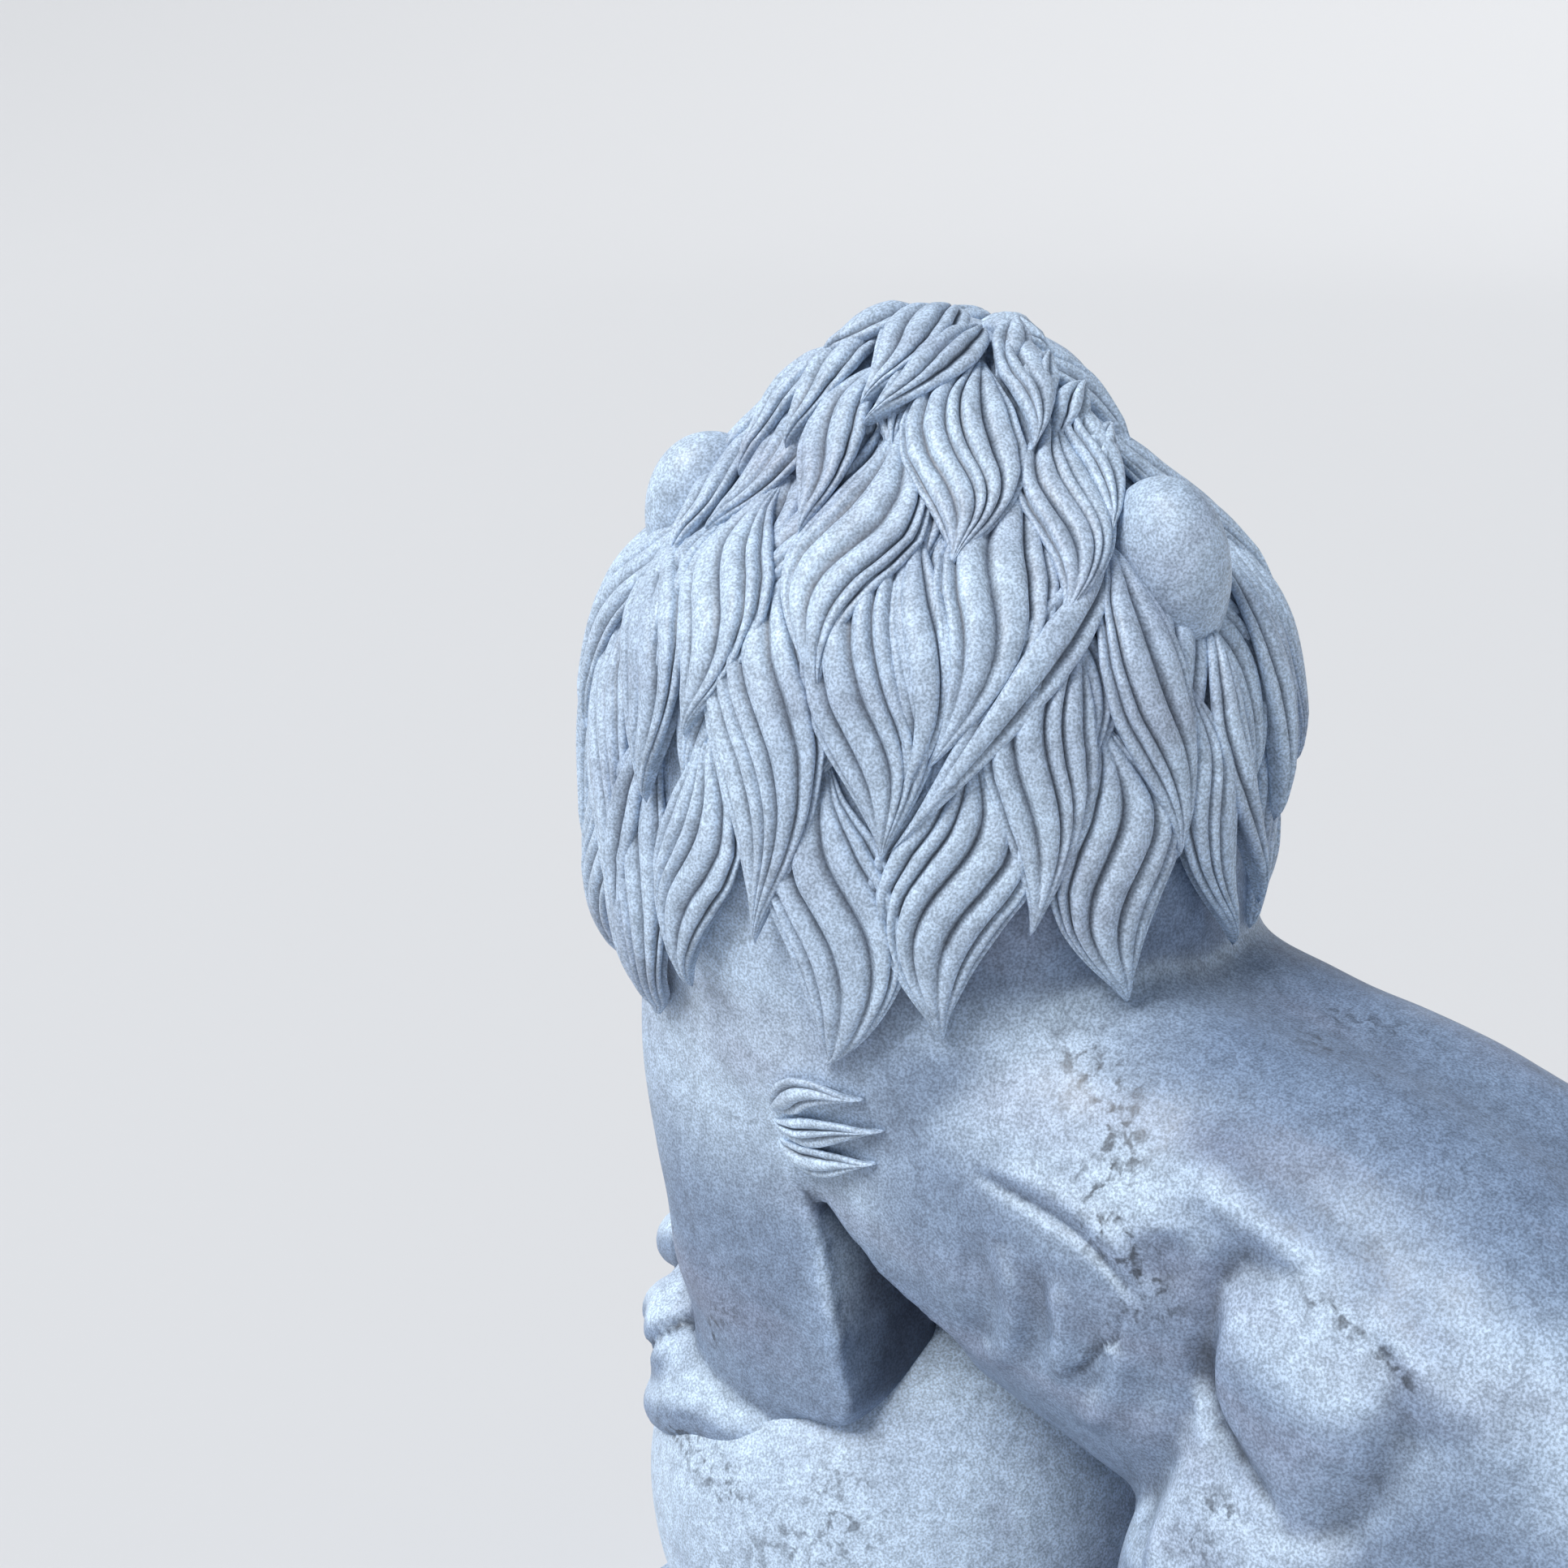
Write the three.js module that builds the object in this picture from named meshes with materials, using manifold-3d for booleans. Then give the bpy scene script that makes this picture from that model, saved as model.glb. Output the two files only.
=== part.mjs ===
// Marble lion, crouched with both forepaws on a ball, its head turned over its right shoulder.
// The lion, the ball and the low slab are carved from one block. Millimetres, +Z up.
// The lion's body faces -Y and its left side is +X; the origin is the centre of the slab's underside.
import * as THREE from "three";
import { LoftGeometry } from "three/addons/geometries/LoftGeometry.js";
import { mergeVertices } from "three/addons/utils/BufferGeometryUtils.js";
import Module from "manifold-3d";

// Driving dimensions, in millimetres
const FIGURE_HEIGHT = 1040; // crown of the head above the slab
const BALL_DIAMETER = 390;
const BALL_SINK = 3; // how deep the ball stands in the slab
const SLAB_LENGTH = 1000;
const SLAB_WIDTH = 540;
const SLAB_THICKNESS = 80;
const SLAB_CORNER_RADIUS = 36;
const SLAB_EDGE_CHAMFER = 8;

// The figure is laid out in shares of its own height, from the centre of the slab's top.
const SHARES = 981; // shares in the height
const UNIT = FIGURE_HEIGHT / SHARES;
const BALL_RADIUS = BALL_DIAMETER / 2 / UNIT;
const BALL_CENTRE = [0, -245, BALL_RADIUS - BALL_SINK / UNIT];
const ROOT_DEPTH = 12; // how far a foot or the tail reaches into the slab, in millimetres
const SPINE_GROOVE = 20;
const WELD = 1e-5; // points closer than this are one point

// Head and mane
const HEAD_TURN = -72; // degrees from straight ahead, towards the lion's right
const NECK = [0, -240, 0]; // the axis that the head and the mane turn about
// Height, half width across the ears, half depth from nape to brow
const MANE_PROFILE = [
  [556, 176, 166],
  [600, 208, 190],
  [680, 215, 194],
  [750, 213, 192],
  [806, 198, 184],
  [842, 170, 166],
  [873, 136, 140],
  [905, 108, 114],
  [935, 86, 92],
  [958, 62, 66],
  [976, 34, 36],
  [984, 8, 8],
];
const LOCKS_ROUND = 18; // locks side by side in a row
const LOCK_COLUMNS = 4; // columns of points across a lock
const LOCK_LEVELS = 6; // a lock's tip lies on every level, and its root lies two levels higher
const TIP_DROP = 0.3; // how far a tip hangs below its level, in levels
const TIP_LIFT = 12; // how far a tip stands off the row below
const BELLY_LIFT = 9; // how far the middle of a lock swells
const GROOVE_DEPTH = 3; // how far the ground is cut back under a tip
const CROWN_SHARE = 0.97; // where the mane closes at the crown
const LOCK_SWAY = 5; // degrees that the rows drift round the mane, left and right in turn
const FACE_OPENING = 62; // degrees either side of the nose where the locks die out
const FACE_SET_BACK = 26; // how far the mane falls back behind the face

const radians = THREE.MathUtils.degToRad;
const lerp = THREE.MathUtils.lerp;

const wasm = await Module();
wasm.setup();

// The bare positions and faces of a geometry, with its seams closed
function welded(geometry) {
  const bare = new THREE.BufferGeometry().copy(geometry);
  for (const name of ["normal", "uv"]) bare.deleteAttribute(name);
  return mergeVertices(bare, WELD);
}

// A closed geometry as a solid, whichever way its faces wind
function solid(geometry) {
  const merged = welded(geometry);
  const vertProperties = new Float32Array(merged.attributes.position.array);
  const triVerts = new Uint32Array(merged.index.array);
  const made = new wasm.Manifold(new wasm.Mesh({ numProp: 3, vertProperties, triVerts }));
  if (made.volume() > 0) return made;
  triVerts.reverse();
  return new wasm.Manifold(new wasm.Mesh({ numProp: 3, vertProperties, triVerts }));
}

function joined(solids) {
  return solids.reduce((whole, piece) => whole.add(piece));
}

// The same shape on the lion's other side
function mirrored(geometry) {
  return new THREE.BufferGeometry().copy(geometry).scale(-1, 1, 1);
}

function bothSides(geometries) {
  return geometries.flatMap((g) => [g, mirrored(g)]);
}

function sphere(around, along) {
  return welded(new THREE.SphereGeometry(1, around, along).rotateX(Math.PI / 2));
}

// Moves every point of a geometry to the place that the function gives for it.
function warped(geometry, place) {
  const p = geometry.attributes.position;
  const at = new THREE.Vector3();
  for (let i = 0; i < p.count; i++) p.setXYZ(i, ...place(at.fromBufferAttribute(p, i)));
  return geometry;
}

// An ellipsoid; turn is its rotation about X, Y and Z in degrees.
function ellipsoid(centre, radii, turn = [0, 0, 0], around = 12, along = 8) {
  const g = sphere(around, along);
  g.scale(...radii);
  g.rotateX(radians(turn[0]));
  g.rotateY(radians(turn[1]));
  g.rotateZ(radians(turn[2]));
  return g.translate(...centre);
}

// A point on a rounded section: power 2 is an ellipse, and more is squarer.
function onSection(angle, halfWidth, halfDepth, power) {
  const bend = (v) => Math.sign(v) * Math.abs(v) ** (2 / power);
  return [halfWidth * bend(Math.cos(angle)), halfDepth * bend(Math.sin(angle))];
}

function middleOf(ring) {
  return ring.reduce((sum, p) => sum.add(p), new THREE.Vector3()).divideScalar(ring.length);
}

// A closed loft through rings, which it first winds so that the wall faces outwards.
function loft(rings) {
  const start = middleOf(rings[0]);
  const along = middleOf(rings[1]).sub(start);
  const first = rings[0][0].clone().sub(start);
  const quarter = rings[0][Math.floor(rings[0].length / 4)].clone().sub(start);
  if (first.cross(quarter).dot(along) < 0) rings.forEach((ring) => ring.reverse());
  return new LoftGeometry(rings, { capStart: true, capEnd: true });
}

// A body lofted through stations [x, y, z, half width, half depth, lean]. The width lies along X;
// the depth points up at lean 0 and backwards at lean 90. The ends are drawn in to round caps.
// A groove runs down the middle of the upper side, as deep as it says.
function limb(stations, { sides = 12, steps = 8, power = 2, cap = 0.45, groove = 0 } = {}) {
  const centres = new THREE.CatmullRomCurve3(stations.map((s) => new THREE.Vector3(s[0], s[1], s[2])));
  const sizes = new THREE.CatmullRomCurve3(stations.map((s) => new THREE.Vector3(s[3], s[4], s[5] ?? 0)));
  const rings = [];
  for (let i = 0; i <= steps; i++) {
    const t = i / steps;
    const c = centres.getPoint(t);
    const size = sizes.getPoint(t);
    const shrink = i === 0 || i === steps ? cap : 1;
    const lean = radians(size.z);
    const ring = [];
    for (let k = 0; k < sides; k++) {
      const section = onSection((2 * Math.PI * k) / sides, size.x * shrink, size.y * shrink, power);
      const a = section[0];
      const b = section[1] - (4 * k === sides ? groove : 0);
      ring.push(new THREE.Vector3(c.x + a, c.y + b * Math.sin(lean), c.z + b * Math.cos(lean)));
    }
    rings.push(ring);
  }
  return loft(rings);
}

// A round tube along a curve, whose radius runs through the radii given
function taperedTube(points, radii, { sides = 8, steps = 16 } = {}) {
  const curve = new THREE.CatmullRomCurve3(points.map((p) => new THREE.Vector3(...p)));
  const sizes = new THREE.CatmullRomCurve3(radii.map((r) => new THREE.Vector3(r, 0, 0)));
  const { normals, binormals } = curve.computeFrenetFrames(steps, false);
  const rings = [];
  for (let i = 0; i <= steps; i++) {
    const c = curve.getPointAt(i / steps);
    const r = sizes.getPoint(i / steps).x;
    const ring = [];
    for (let k = 0; k < sides; k++) {
      const angle = (2 * Math.PI * k) / sides;
      ring.push(
        c.clone()
          .addScaledVector(normals[i], r * Math.cos(angle))
          .addScaledVector(binormals[i], r * Math.sin(angle)),
      );
    }
    rings.push(ring);
  }
  return loft(rings);
}

// Ball, forelegs and forepaws

function ball() {
  return sphere(24, 12).scale(BALL_RADIUS, BALL_RADIUS, BALL_RADIUS).translate(...BALL_CENTRE);
}

// Middles of a forepaw's toes, from the outer to the inner
const FORETOES = [
  [124, -358, 244],
  [85, -392, 280],
  [45, -410, 306],
  [14, -416, 318],
];

function foreleg() {
  return [
    limb(
      [
        [96, -280, 600, 66, 104, 90],
        [104, -288, 540, 62, 98, 90],
        [108, -294, 460, 50, 86, 88],
        [110, -288, 390, 46, 82, 84],
        [113, -276, 330, 46, 80, 78],
        [116, -270, 284, 47, 84, 72],
        [114, -272, 262, 42, 80, 72],
      ],
      { sides: 12, steps: 8, power: 3, cap: 0.9 },
    ),
    ellipsoid([88, -232, 506], [86, 172, 128], [16, 0, 0], 14, 8), // shoulder and upper arm
    ellipsoid([92, -344, 280], [52, 62, 44], [-34, 26, 0], 10, 8), // back of the paw
    ...FORETOES.map((at) => ellipsoid(at, [22, 40, 25], [34, 26, 0], 8, 6)),
  ];
}

// Three pointed tufts of hair that sweep back from each elbow
function elbowTufts() {
  return [-1, 0, 1].map((k) => ellipsoid([164, -196 + 5 * k, 514 + 21 * k], [13, 38, 12], [4 - 8 * k, 0, 0], 6, 4));
}

// The stone left between the forelegs, over the ball
function foreWeb() {
  return limb(
    [
      [0, -290, 300, 110, 106, 90],
      [0, -290, 400, 100, 106, 90],
      [0, -290, 560, 100, 120, 90],
    ],
    { sides: 12, steps: 3, power: 4, cap: 1 },
  );
}

// Body

function torso() {
  return limb(
    [
      [0, -330, 560, 108, 116, 10],
      [0, -250, 526, 148, 140, 12],
      [0, -150, 494, 162, 146, 14],
      [0, -30, 462, 158, 152, 16],
      [0, 80, 434, 148, 164, 18],
      [0, 180, 402, 144, 154, 26],
      [0, 250, 350, 132, 130, 46],
      [0, 276, 280, 112, 108, 66],
      [0, 270, 230, 90, 84, 80],
    ],
    { sides: 20, steps: 11, power: 2.4, cap: 0.7, groove: SPINE_GROOVE },
  );
}

function chestAndNeck() {
  return [
    ellipsoid([0, -352, 510], [108, 72, 140], [0, 0, 0], 12, 8),
    limb(
      [
        [0, -250, 520, 150, 150, 90],
        [0, -235, 620, 150, 160, 90],
        [0, -230, 720, 130, 130, 90],
      ],
      { sides: 14, steps: 3 },
    ),
  ];
}

// The stone left under the belly and between the hind legs, down to the slab
function underBelly() {
  return limb(
    [
      [0, 140, -20, 88, 156, 90],
      [0, 140, 160, 88, 148, 90],
      [0, 140, 300, 96, 140, 90],
    ],
    { sides: 12, steps: 3, power: 3, cap: 1 },
  );
}

function hindLeg() {
  const toes = [-1.5, -0.5, 0.5, 1.5].map((k) =>
    ellipsoid([146 + 26 * k, -28 + 5 * k * k, 22], [15, 30, 26], [0, 0, 0], 6, 4),
  );
  return [
    ellipsoid([84, 146, 424], [92, 128, 158], [-14, 0, 0], 14, 10), // haunch
    ellipsoid([118, 90, 300], [66, 90, 136], [-16, 0, 0], 14, 8), // thigh and knee
    limb(
      [
        [128, 64, 210, 46, 62, 70],
        [140, 132, 140, 42, 52, 50],
        [148, 232, 96, 36, 44, 40],
      ],
      { sides: 10, steps: 3 },
    ), // shank
    limb(
      [
        [148, 262, 84, 28, 34, 120],
        [148, 232, 40, 36, 42, 150],
        [148, 130, 24, 40, 36, 180],
        [146, 40, 24, 50, 38, 180],
        [146, -18, 18, 50, 28, 180],
      ],
      { sides: 10, steps: 5, cap: 0.7 },
    ), // foot
    ...toes,
  ];
}

function tail() {
  const points = [
    [0, 250, 430],
    [4, 352, 352],
    [4, 318, 200],
    [-16, 316, 84],
    [-84, 352, 30],
    [-178, 362, 24],
    [-226, 290, 24],
    [-228, 190, 24],
  ];
  return [
    taperedTube(points, [40, 34, 30, 26, 24, 22, 21, 19]),
    ellipsoid([-224, 140, 24], [26, 78, 28], [0, 0, -4], 10, 8), // tuft
  ];
}

// Head and mane, facing -Y about the neck's axis before they are turned

// The level and the outline of the mane at a share of the way up its profile
const maneCurve = new THREE.CatmullRomCurve3(MANE_PROFILE.map(([z, side, depth]) => new THREE.Vector3(side, depth, z)));

// A point on the mane: the angle is in degrees round from the nose, towards the lion's left.
function onMane(angle, share, lift = 0) {
  const at = (degrees, s) => {
    const p = maneCurve.getPointAt(THREE.MathUtils.clamp(s, 0, 1));
    return new THREE.Vector3(p.x * Math.sin(radians(degrees)), -p.y * Math.cos(radians(degrees)), p.z);
  };
  const place = at(angle, share);
  const round = at(angle + 1, share).sub(at(angle - 1, share));
  const up = at(angle, share + 0.01).sub(at(angle, share - 0.01));
  const normal = round.clone().cross(up).normalize();
  return { place: place.addScaledVector(normal, lift), normal, round: round.normalize() };
}

// One ring of the mane at a level of lock tips: first the ground under the tips, then the tips over it
function maneRing(level, over) {
  const columns = LOCKS_ROUND * LOCK_COLUMNS;
  const ring = [];
  for (let k = 0; k < columns; k++) {
    const across = (k / LOCK_COLUMNS + level / 2) % 1; // 0 at a tip, 0.5 at the middle of the row below
    const between = 1 - Math.abs(2 * across - 1);
    const tip = over ? TIP_LIFT : -GROOVE_DEPTH;
    const angle = (360 * k) / columns + LOCK_SWAY * Math.sin((Math.PI * level) / 2);
    const offNose = Math.abs(((angle + 180) % 360) - 180);
    const hair = THREE.MathUtils.smoothstep(offNose, FACE_OPENING * 0.7, FACE_OPENING * 1.1);
    const share = (level + TIP_DROP * (between - 1) * (level > 0) + (over ? 0.12 : 0) + 0.3 * between) / LOCK_LEVELS;
    const slender = Math.min(1, 1.6 - share);
    const lift = lerp(-FACE_SET_BACK, slender * lerp(tip, BELLY_LIFT, between), hair);
    ring.push(onMane(angle, Math.min(share, CROWN_SHARE - 0.01), lift).place);
  }
  return ring;
}

function maneMass() {
  const rings = [];
  for (let level = 0; level < LOCK_LEVELS; level++) {
    if (level > 0) rings.push(maneRing(level, false));
    rings.push(maneRing(level, true));
  }
  const columns = LOCKS_ROUND * LOCK_COLUMNS;
  rings.push(Array.from({ length: columns }, (unused, k) => onMane((360 * k) / columns, CROWN_SHARE).place));
  return loft(rings);
}

function face() {
  const eachSide = [
    ellipsoid([46, -176, 820], [46, 26, 20], [-14, 16, 14], 8, 6), // brow
    ellipsoid([70, -130, 752], [52, 64, 62], [0, 0, 0], 10, 8), // cheek
    ellipsoid([28, -240, 716], [36, 44, 36], [0, 0, 0], 10, 6), // lip pad
    ellipsoid([48, -184, 792], [17, 14, 12], [0, 0, 0], 8, 6), // eye
  ];
  return [
    ellipsoid([0, -78, 800], [116, 122, 118], [0, 0, 0], 14, 10), // skull
    limb(
      [
        [0, -120, 738, 84, 80, 0],
        [0, -180, 730, 70, 64, 0],
        [0, -240, 722, 52, 48, 0],
        [0, -268, 720, 42, 36, 0],
      ],
      { steps: 4 },
    ), // muzzle
    limb(
      [
        [0, -140, 836, 34, 26, 20],
        [0, -196, 808, 30, 24, 25],
        [0, -262, 760, 26, 20, 25],
        [0, -282, 746, 26, 16, 20],
      ],
      { steps: 4, sides: 8 },
    ), // bridge and nose
    ellipsoid([0, -222, 672], [40, 46, 28], [0, 0, 0], 10, 6), // chin
    ...bothSides(eachSide),
  ];
}

function ear() {
  const cup = ellipsoid([0, 0, 0], [40, 26, 54], [0, 0, 0], 12, 8);
  const hollow = ellipsoid([0, -28, 4], [26, 26, 38], [0, 0, 0], 8, 6);
  return solid(cup).subtract(solid(hollow)).rotate([-10, 30, 34]).translate([150, 22, 836]);
}

function head() {
  const ears = [ear(), ear().mirror([1, 0, 0])];
  return joined([...face(), maneMass()].map(solid).concat(ears))
    .rotate([0, 0, HEAD_TURN])
    .translate(NECK);
}

function figure() {
  const pieces = [
    ball(),
    torso(),
    ...chestAndNeck(),
    foreWeb(),
    underBelly(),
    ...tail(),
    ...bothSides([...foreleg(), ...elbowTufts(), ...hindLeg()]),
  ];
  const sunk = -ROOT_DEPTH / UNIT;
  const clip = new THREE.BoxGeometry(4000, 4000, 4000).translate(0, 0, 2000 + sunk);
  return joined(pieces.map(solid)).add(head()).intersect(solid(clip));
}

function slab() {
  const inner = SLAB_EDGE_CHAMFER;
  const w = SLAB_WIDTH / 2 - inner;
  const l = SLAB_LENGTH / 2 - inner;
  const r = SLAB_CORNER_RADIUS - inner;
  const outline = new THREE.Shape();
  outline.absarc(w - r, l - r, r, 0, Math.PI / 2);
  outline.absarc(r - w, l - r, r, Math.PI / 2, Math.PI);
  outline.absarc(r - w, r - l, r, Math.PI, 1.5 * Math.PI);
  outline.absarc(w - r, r - l, r, 1.5 * Math.PI, 2 * Math.PI);
  return new THREE.ExtrudeGeometry(outline, {
    depth: SLAB_THICKNESS - 2 * inner,
    curveSegments: 6,
    bevelSegments: 1,
    bevelSize: inner,
    bevelThickness: inner,
  }).translate(0, 0, inner);
}

function geometryOf(manifold) {
  const m = manifold.getMesh();
  const g = new THREE.BufferGeometry();
  g.setAttribute("position", new THREE.BufferAttribute(m.vertProperties, 3));
  g.setIndex(new THREE.BufferAttribute(m.triVerts, 1));
  g.computeVertexNormals();
  return g;
}

const marble = new THREE.MeshStandardMaterial({ color: 0xb9c3cf, roughness: 0.55, metalness: 0 });
const carved = figure().scale(UNIT).translate([0, 0, SLAB_THICKNESS]).add(solid(slab()));

const lion = new THREE.Mesh(geometryOf(carved), marble);
lion.name = "lion_statue";

const statue = new THREE.Group();
statue.add(lion);

export default statue;
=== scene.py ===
"""The finish of a marble lion that crouches with both forepaws on a ball and turns its head away.

Lion, ball and slab are one block of stone. The forms are laid out in shares of the lion's height,
from the centre of the slab's top, with +Z up. The body faces -Y, and the lion's left side is +X.
"""

import math

import bmesh
import bpy
import numpy as np
from mathutils import Matrix, Vector
from mathutils.bvhtree import BVHTree


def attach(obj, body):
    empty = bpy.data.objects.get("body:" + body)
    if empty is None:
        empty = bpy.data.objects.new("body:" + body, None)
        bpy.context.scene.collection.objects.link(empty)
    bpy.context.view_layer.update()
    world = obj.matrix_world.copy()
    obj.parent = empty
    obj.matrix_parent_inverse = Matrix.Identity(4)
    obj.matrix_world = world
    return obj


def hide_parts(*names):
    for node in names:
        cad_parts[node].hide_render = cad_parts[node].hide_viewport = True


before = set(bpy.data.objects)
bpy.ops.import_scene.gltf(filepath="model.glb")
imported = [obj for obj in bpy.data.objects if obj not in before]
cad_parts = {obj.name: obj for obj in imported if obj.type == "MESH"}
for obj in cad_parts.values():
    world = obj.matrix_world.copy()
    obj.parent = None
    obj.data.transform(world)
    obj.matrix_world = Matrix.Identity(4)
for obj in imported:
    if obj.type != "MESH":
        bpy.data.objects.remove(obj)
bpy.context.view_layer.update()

# Driving dimensions, in metres
FIGURE_HEIGHT = 1.040
SLAB_LENGTH = 1.000
SLAB_WIDTH = 0.540
SLAB_THICKNESS = 0.080
SLAB_CORNER_RADIUS = 0.036
SLAB_EDGE_BEVEL = 0.008
BALL_DIAMETER = 0.390
BALL_SINK = 0.003

# The figure's own measure: one share of its height
SHARES = 981
UNIT = FIGURE_HEIGHT / SHARES
BALL_RADIUS = BALL_DIAMETER / 2 / UNIT
BALL_CENTRE = (0, -245, BALL_RADIUS - BALL_SINK / UNIT)
BODY_VOXEL = 5.15  # spacing of the points on the body, in shares
HEAD_VOXEL = 2.6
ROOT_DEPTH = 12  # how far feet and tail reach into the slab

# Head and mane
HEAD_TURN = -72  # degrees from straight ahead, towards the lion's right
NECK = (0, -240, 0)  # the axis that the head and the mane turn about
# Height, half width across the ears, half depth from nape to brow
MANE_PROFILE = (
    (556, 176, 166),
    (600, 208, 190),
    (680, 215, 194),
    (750, 213, 192),
    (806, 198, 184),
    (842, 170, 166),
    (873, 136, 140),
    (905, 108, 114),
    (935, 86, 92),
    (958, 62, 66),
    (976, 34, 36),
    (984, 8, 8),
)
FACE_OPENING = 62  # degrees either side of the nose without long locks
FACE_SET_BACK = 26  # how far the mane falls back behind the face
EAR_ANGLE = 106  # degrees from the nose

# Camera, read off the photograph's perspective
IMAGE_SIZE = 1932
FOCAL_PIXELS = 2800
SENSOR = 36
CAMERA_PLACE = (1.1746, 0.6000, 1.2737)
CAMERA_AZIMUTH = 40  # degrees from the lion's left side towards its tail
CAMERA_ELEVATION = 18

SEED = 7
TINY = 1e-6  # keeps a division from meeting zero


# Curves and shapes


def along(stations, t):
    """The places at shares t of the way along a smooth curve through the stations."""
    p = np.asarray(stations, float)
    at = np.clip(np.asarray(t, float), 0, 1) * (len(p) - 1)
    i = np.minimum(at.astype(int), len(p) - 2)
    w = (at - i)[..., None]
    padded = np.vstack([2 * p[0] - p[1], p, 2 * p[-1] - p[-2]])
    p0, p1, p2, p3 = (padded[i + k] for k in range(4))

    def gap(a, b):
        return np.maximum(np.linalg.norm(b - a, axis=-1, keepdims=True), TINY) ** 0.5

    d0, d1, d2 = gap(p0, p1), gap(p1, p2), gap(p2, p3)
    leave = ((p1 - p0) / d0 - (p2 - p0) / (d0 + d1) + (p2 - p1) / d1) * d1
    arrive = ((p2 - p1) / d1 - (p3 - p1) / (d1 + d2) + (p3 - p2) / d2) * d1
    square, cube = w**2, w**3
    return (
        p1 * (2 * cube - 3 * square + 1)
        + p2 * (3 * square - 2 * cube)
        + leave * (cube - 2 * square + w)
        + arrive * (cube - square)
    )


def evenly(stations, t, samples=400):
    """As along, but t is a share of the curve's length."""
    fine = along(stations, np.linspace(0, 1, samples))
    steps = np.linalg.norm(np.diff(fine, axis=0), axis=1)
    reached = np.concatenate([[0], np.cumsum(steps)])
    even = np.interp(np.asarray(t) * reached[-1], reached, np.linspace(0, 1, samples))
    return along(stations, even)


def smoothstep(value, low, high):
    """0 up to low, 1 from high on, and a smooth step between."""
    x = np.clip((value - low) / (high - low), 0, 1)
    return x * x * (3 - 2 * x)


def points_of(mesh):
    flat = np.empty(3 * len(mesh.vertices), np.float32)
    mesh.vertices.foreach_get("co", flat)
    return flat.reshape(-1, 3).astype(float)


def set_points(mesh, points):
    mesh.vertices.foreach_set("co", points.astype(np.float32).ravel())
    mesh.update()


def normals_of(mesh):
    flat = np.empty(3 * len(mesh.vertices), np.float32)
    mesh.vertex_normals.foreach_get("vector", flat)
    return flat.reshape(-1, 3).astype(float)


def sphere(around, steps):
    """A closed unit sphere with its poles up and down."""
    bm = bmesh.new()
    bmesh.ops.create_uvsphere(bm, u_segments=around, v_segments=steps, radius=1)
    mesh = bpy.data.meshes.new("sphere")
    bm.to_mesh(mesh)
    bm.free()
    return mesh


def polar(points):
    """Share of the way from the top pole to the bottom one, and the angle round."""
    share = np.arccos(np.clip(points[:, 2], -1, 1)) / np.pi
    return share, np.arctan2(points[:, 1], points[:, 0])


def faced_out(mesh):
    """The mesh with its faces turned outwards."""
    bm = bmesh.new()
    bm.from_mesh(mesh)
    bmesh.ops.recalc_face_normals(bm, faces=bm.faces)
    bm.to_mesh(mesh)
    bm.free()
    return mesh


def ellipsoid(centre, radii, turn=(0, 0, 0), around=28, steps=18):
    """Radii along X, Y and Z, then turned about X, Y and Z in degrees."""
    mesh = sphere(around, steps)
    spin = Matrix.Identity(3)
    for axis, degrees in zip("XYZ", turn):
        spin = Matrix.Rotation(math.radians(degrees), 3, axis) @ spin
    set_points(mesh, (points_of(mesh) * radii) @ np.array(spin).T + centre)
    return mesh


SPINE_WIDTH = 0.16  # of the groove along a back, as an angle round it in radians


def limb(stations, power=(2, 2), front=None, ends=6.0, groove=0.0, around=48, steps=40):
    """A rounded body through stations [x, y, z, half width, half depth, lean].

    The width lies along X; the depth points up at lean 0 and backwards at lean 90.
    Power, at the first and at the last station, is 2 for an ellipse and more for a squarer section.
    Front is the power of the half that the depth points away from, where that differs.
    Ends is larger for blunter ends, and groove is the depth of a furrow along the back.
    """
    mesh = sphere(around, steps)
    t, angle = polar(points_of(mesh))
    rows = np.array([(*s, 0)[:6] for s in stations], float)
    centre = along(rows[:, :3], t)
    size = along(rows[:, 3:], t)
    power = power[0] + (power[1] - power[0]) * t
    power = np.where(np.sin(angle) < 0, front or power, power)
    girth = np.clip(1 - np.abs(2 * t - 1) ** ends, 0, 1) ** (1 / ends)
    across = size[:, 0] * girth * np.sign(np.cos(angle)) * np.abs(np.cos(angle)) ** (2 / power)
    up = size[:, 1] * girth * np.sign(np.sin(angle)) * np.abs(np.sin(angle)) ** (2 / power)
    up -= groove * girth * np.exp(-(((angle - np.pi / 2) / SPINE_WIDTH) ** 2))
    lean = np.radians(size[:, 2])
    set_points(mesh, centre + np.column_stack([across, up * np.sin(lean), up * np.cos(lean)]))
    return faced_out(mesh)


TUBE_END = 30  # larger for a blunter end
TUBE_STEP = 0.004  # of its length, over which a tube's heading is taken
ACROSS = (0.96, 0.1, 0.26)  # a direction that no tube here runs in


def tube(points, radii, around=24, steps=90):
    """A round tube with rounded ends along a curve."""
    mesh = sphere(around, steps)
    t, angle = polar(points_of(mesh))
    ends = np.sqrt(np.clip(1 - np.abs(2 * t - 1) ** TUBE_END, 0, 1))
    radius = along([(r, 0, 0) for r in radii], t)[:, 0] * ends
    heading = along(points, t + TUBE_STEP) - along(points, t - TUBE_STEP)
    heading /= np.linalg.norm(heading, axis=1, keepdims=True)
    side = np.cross(heading, ACROSS)
    side /= np.linalg.norm(side, axis=1, keepdims=True)
    other = np.cross(heading, side)
    ring = np.cos(angle)[:, None] * side + np.sin(angle)[:, None] * other
    set_points(mesh, along(points, t) + radius[:, None] * ring)
    return faced_out(mesh)


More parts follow.
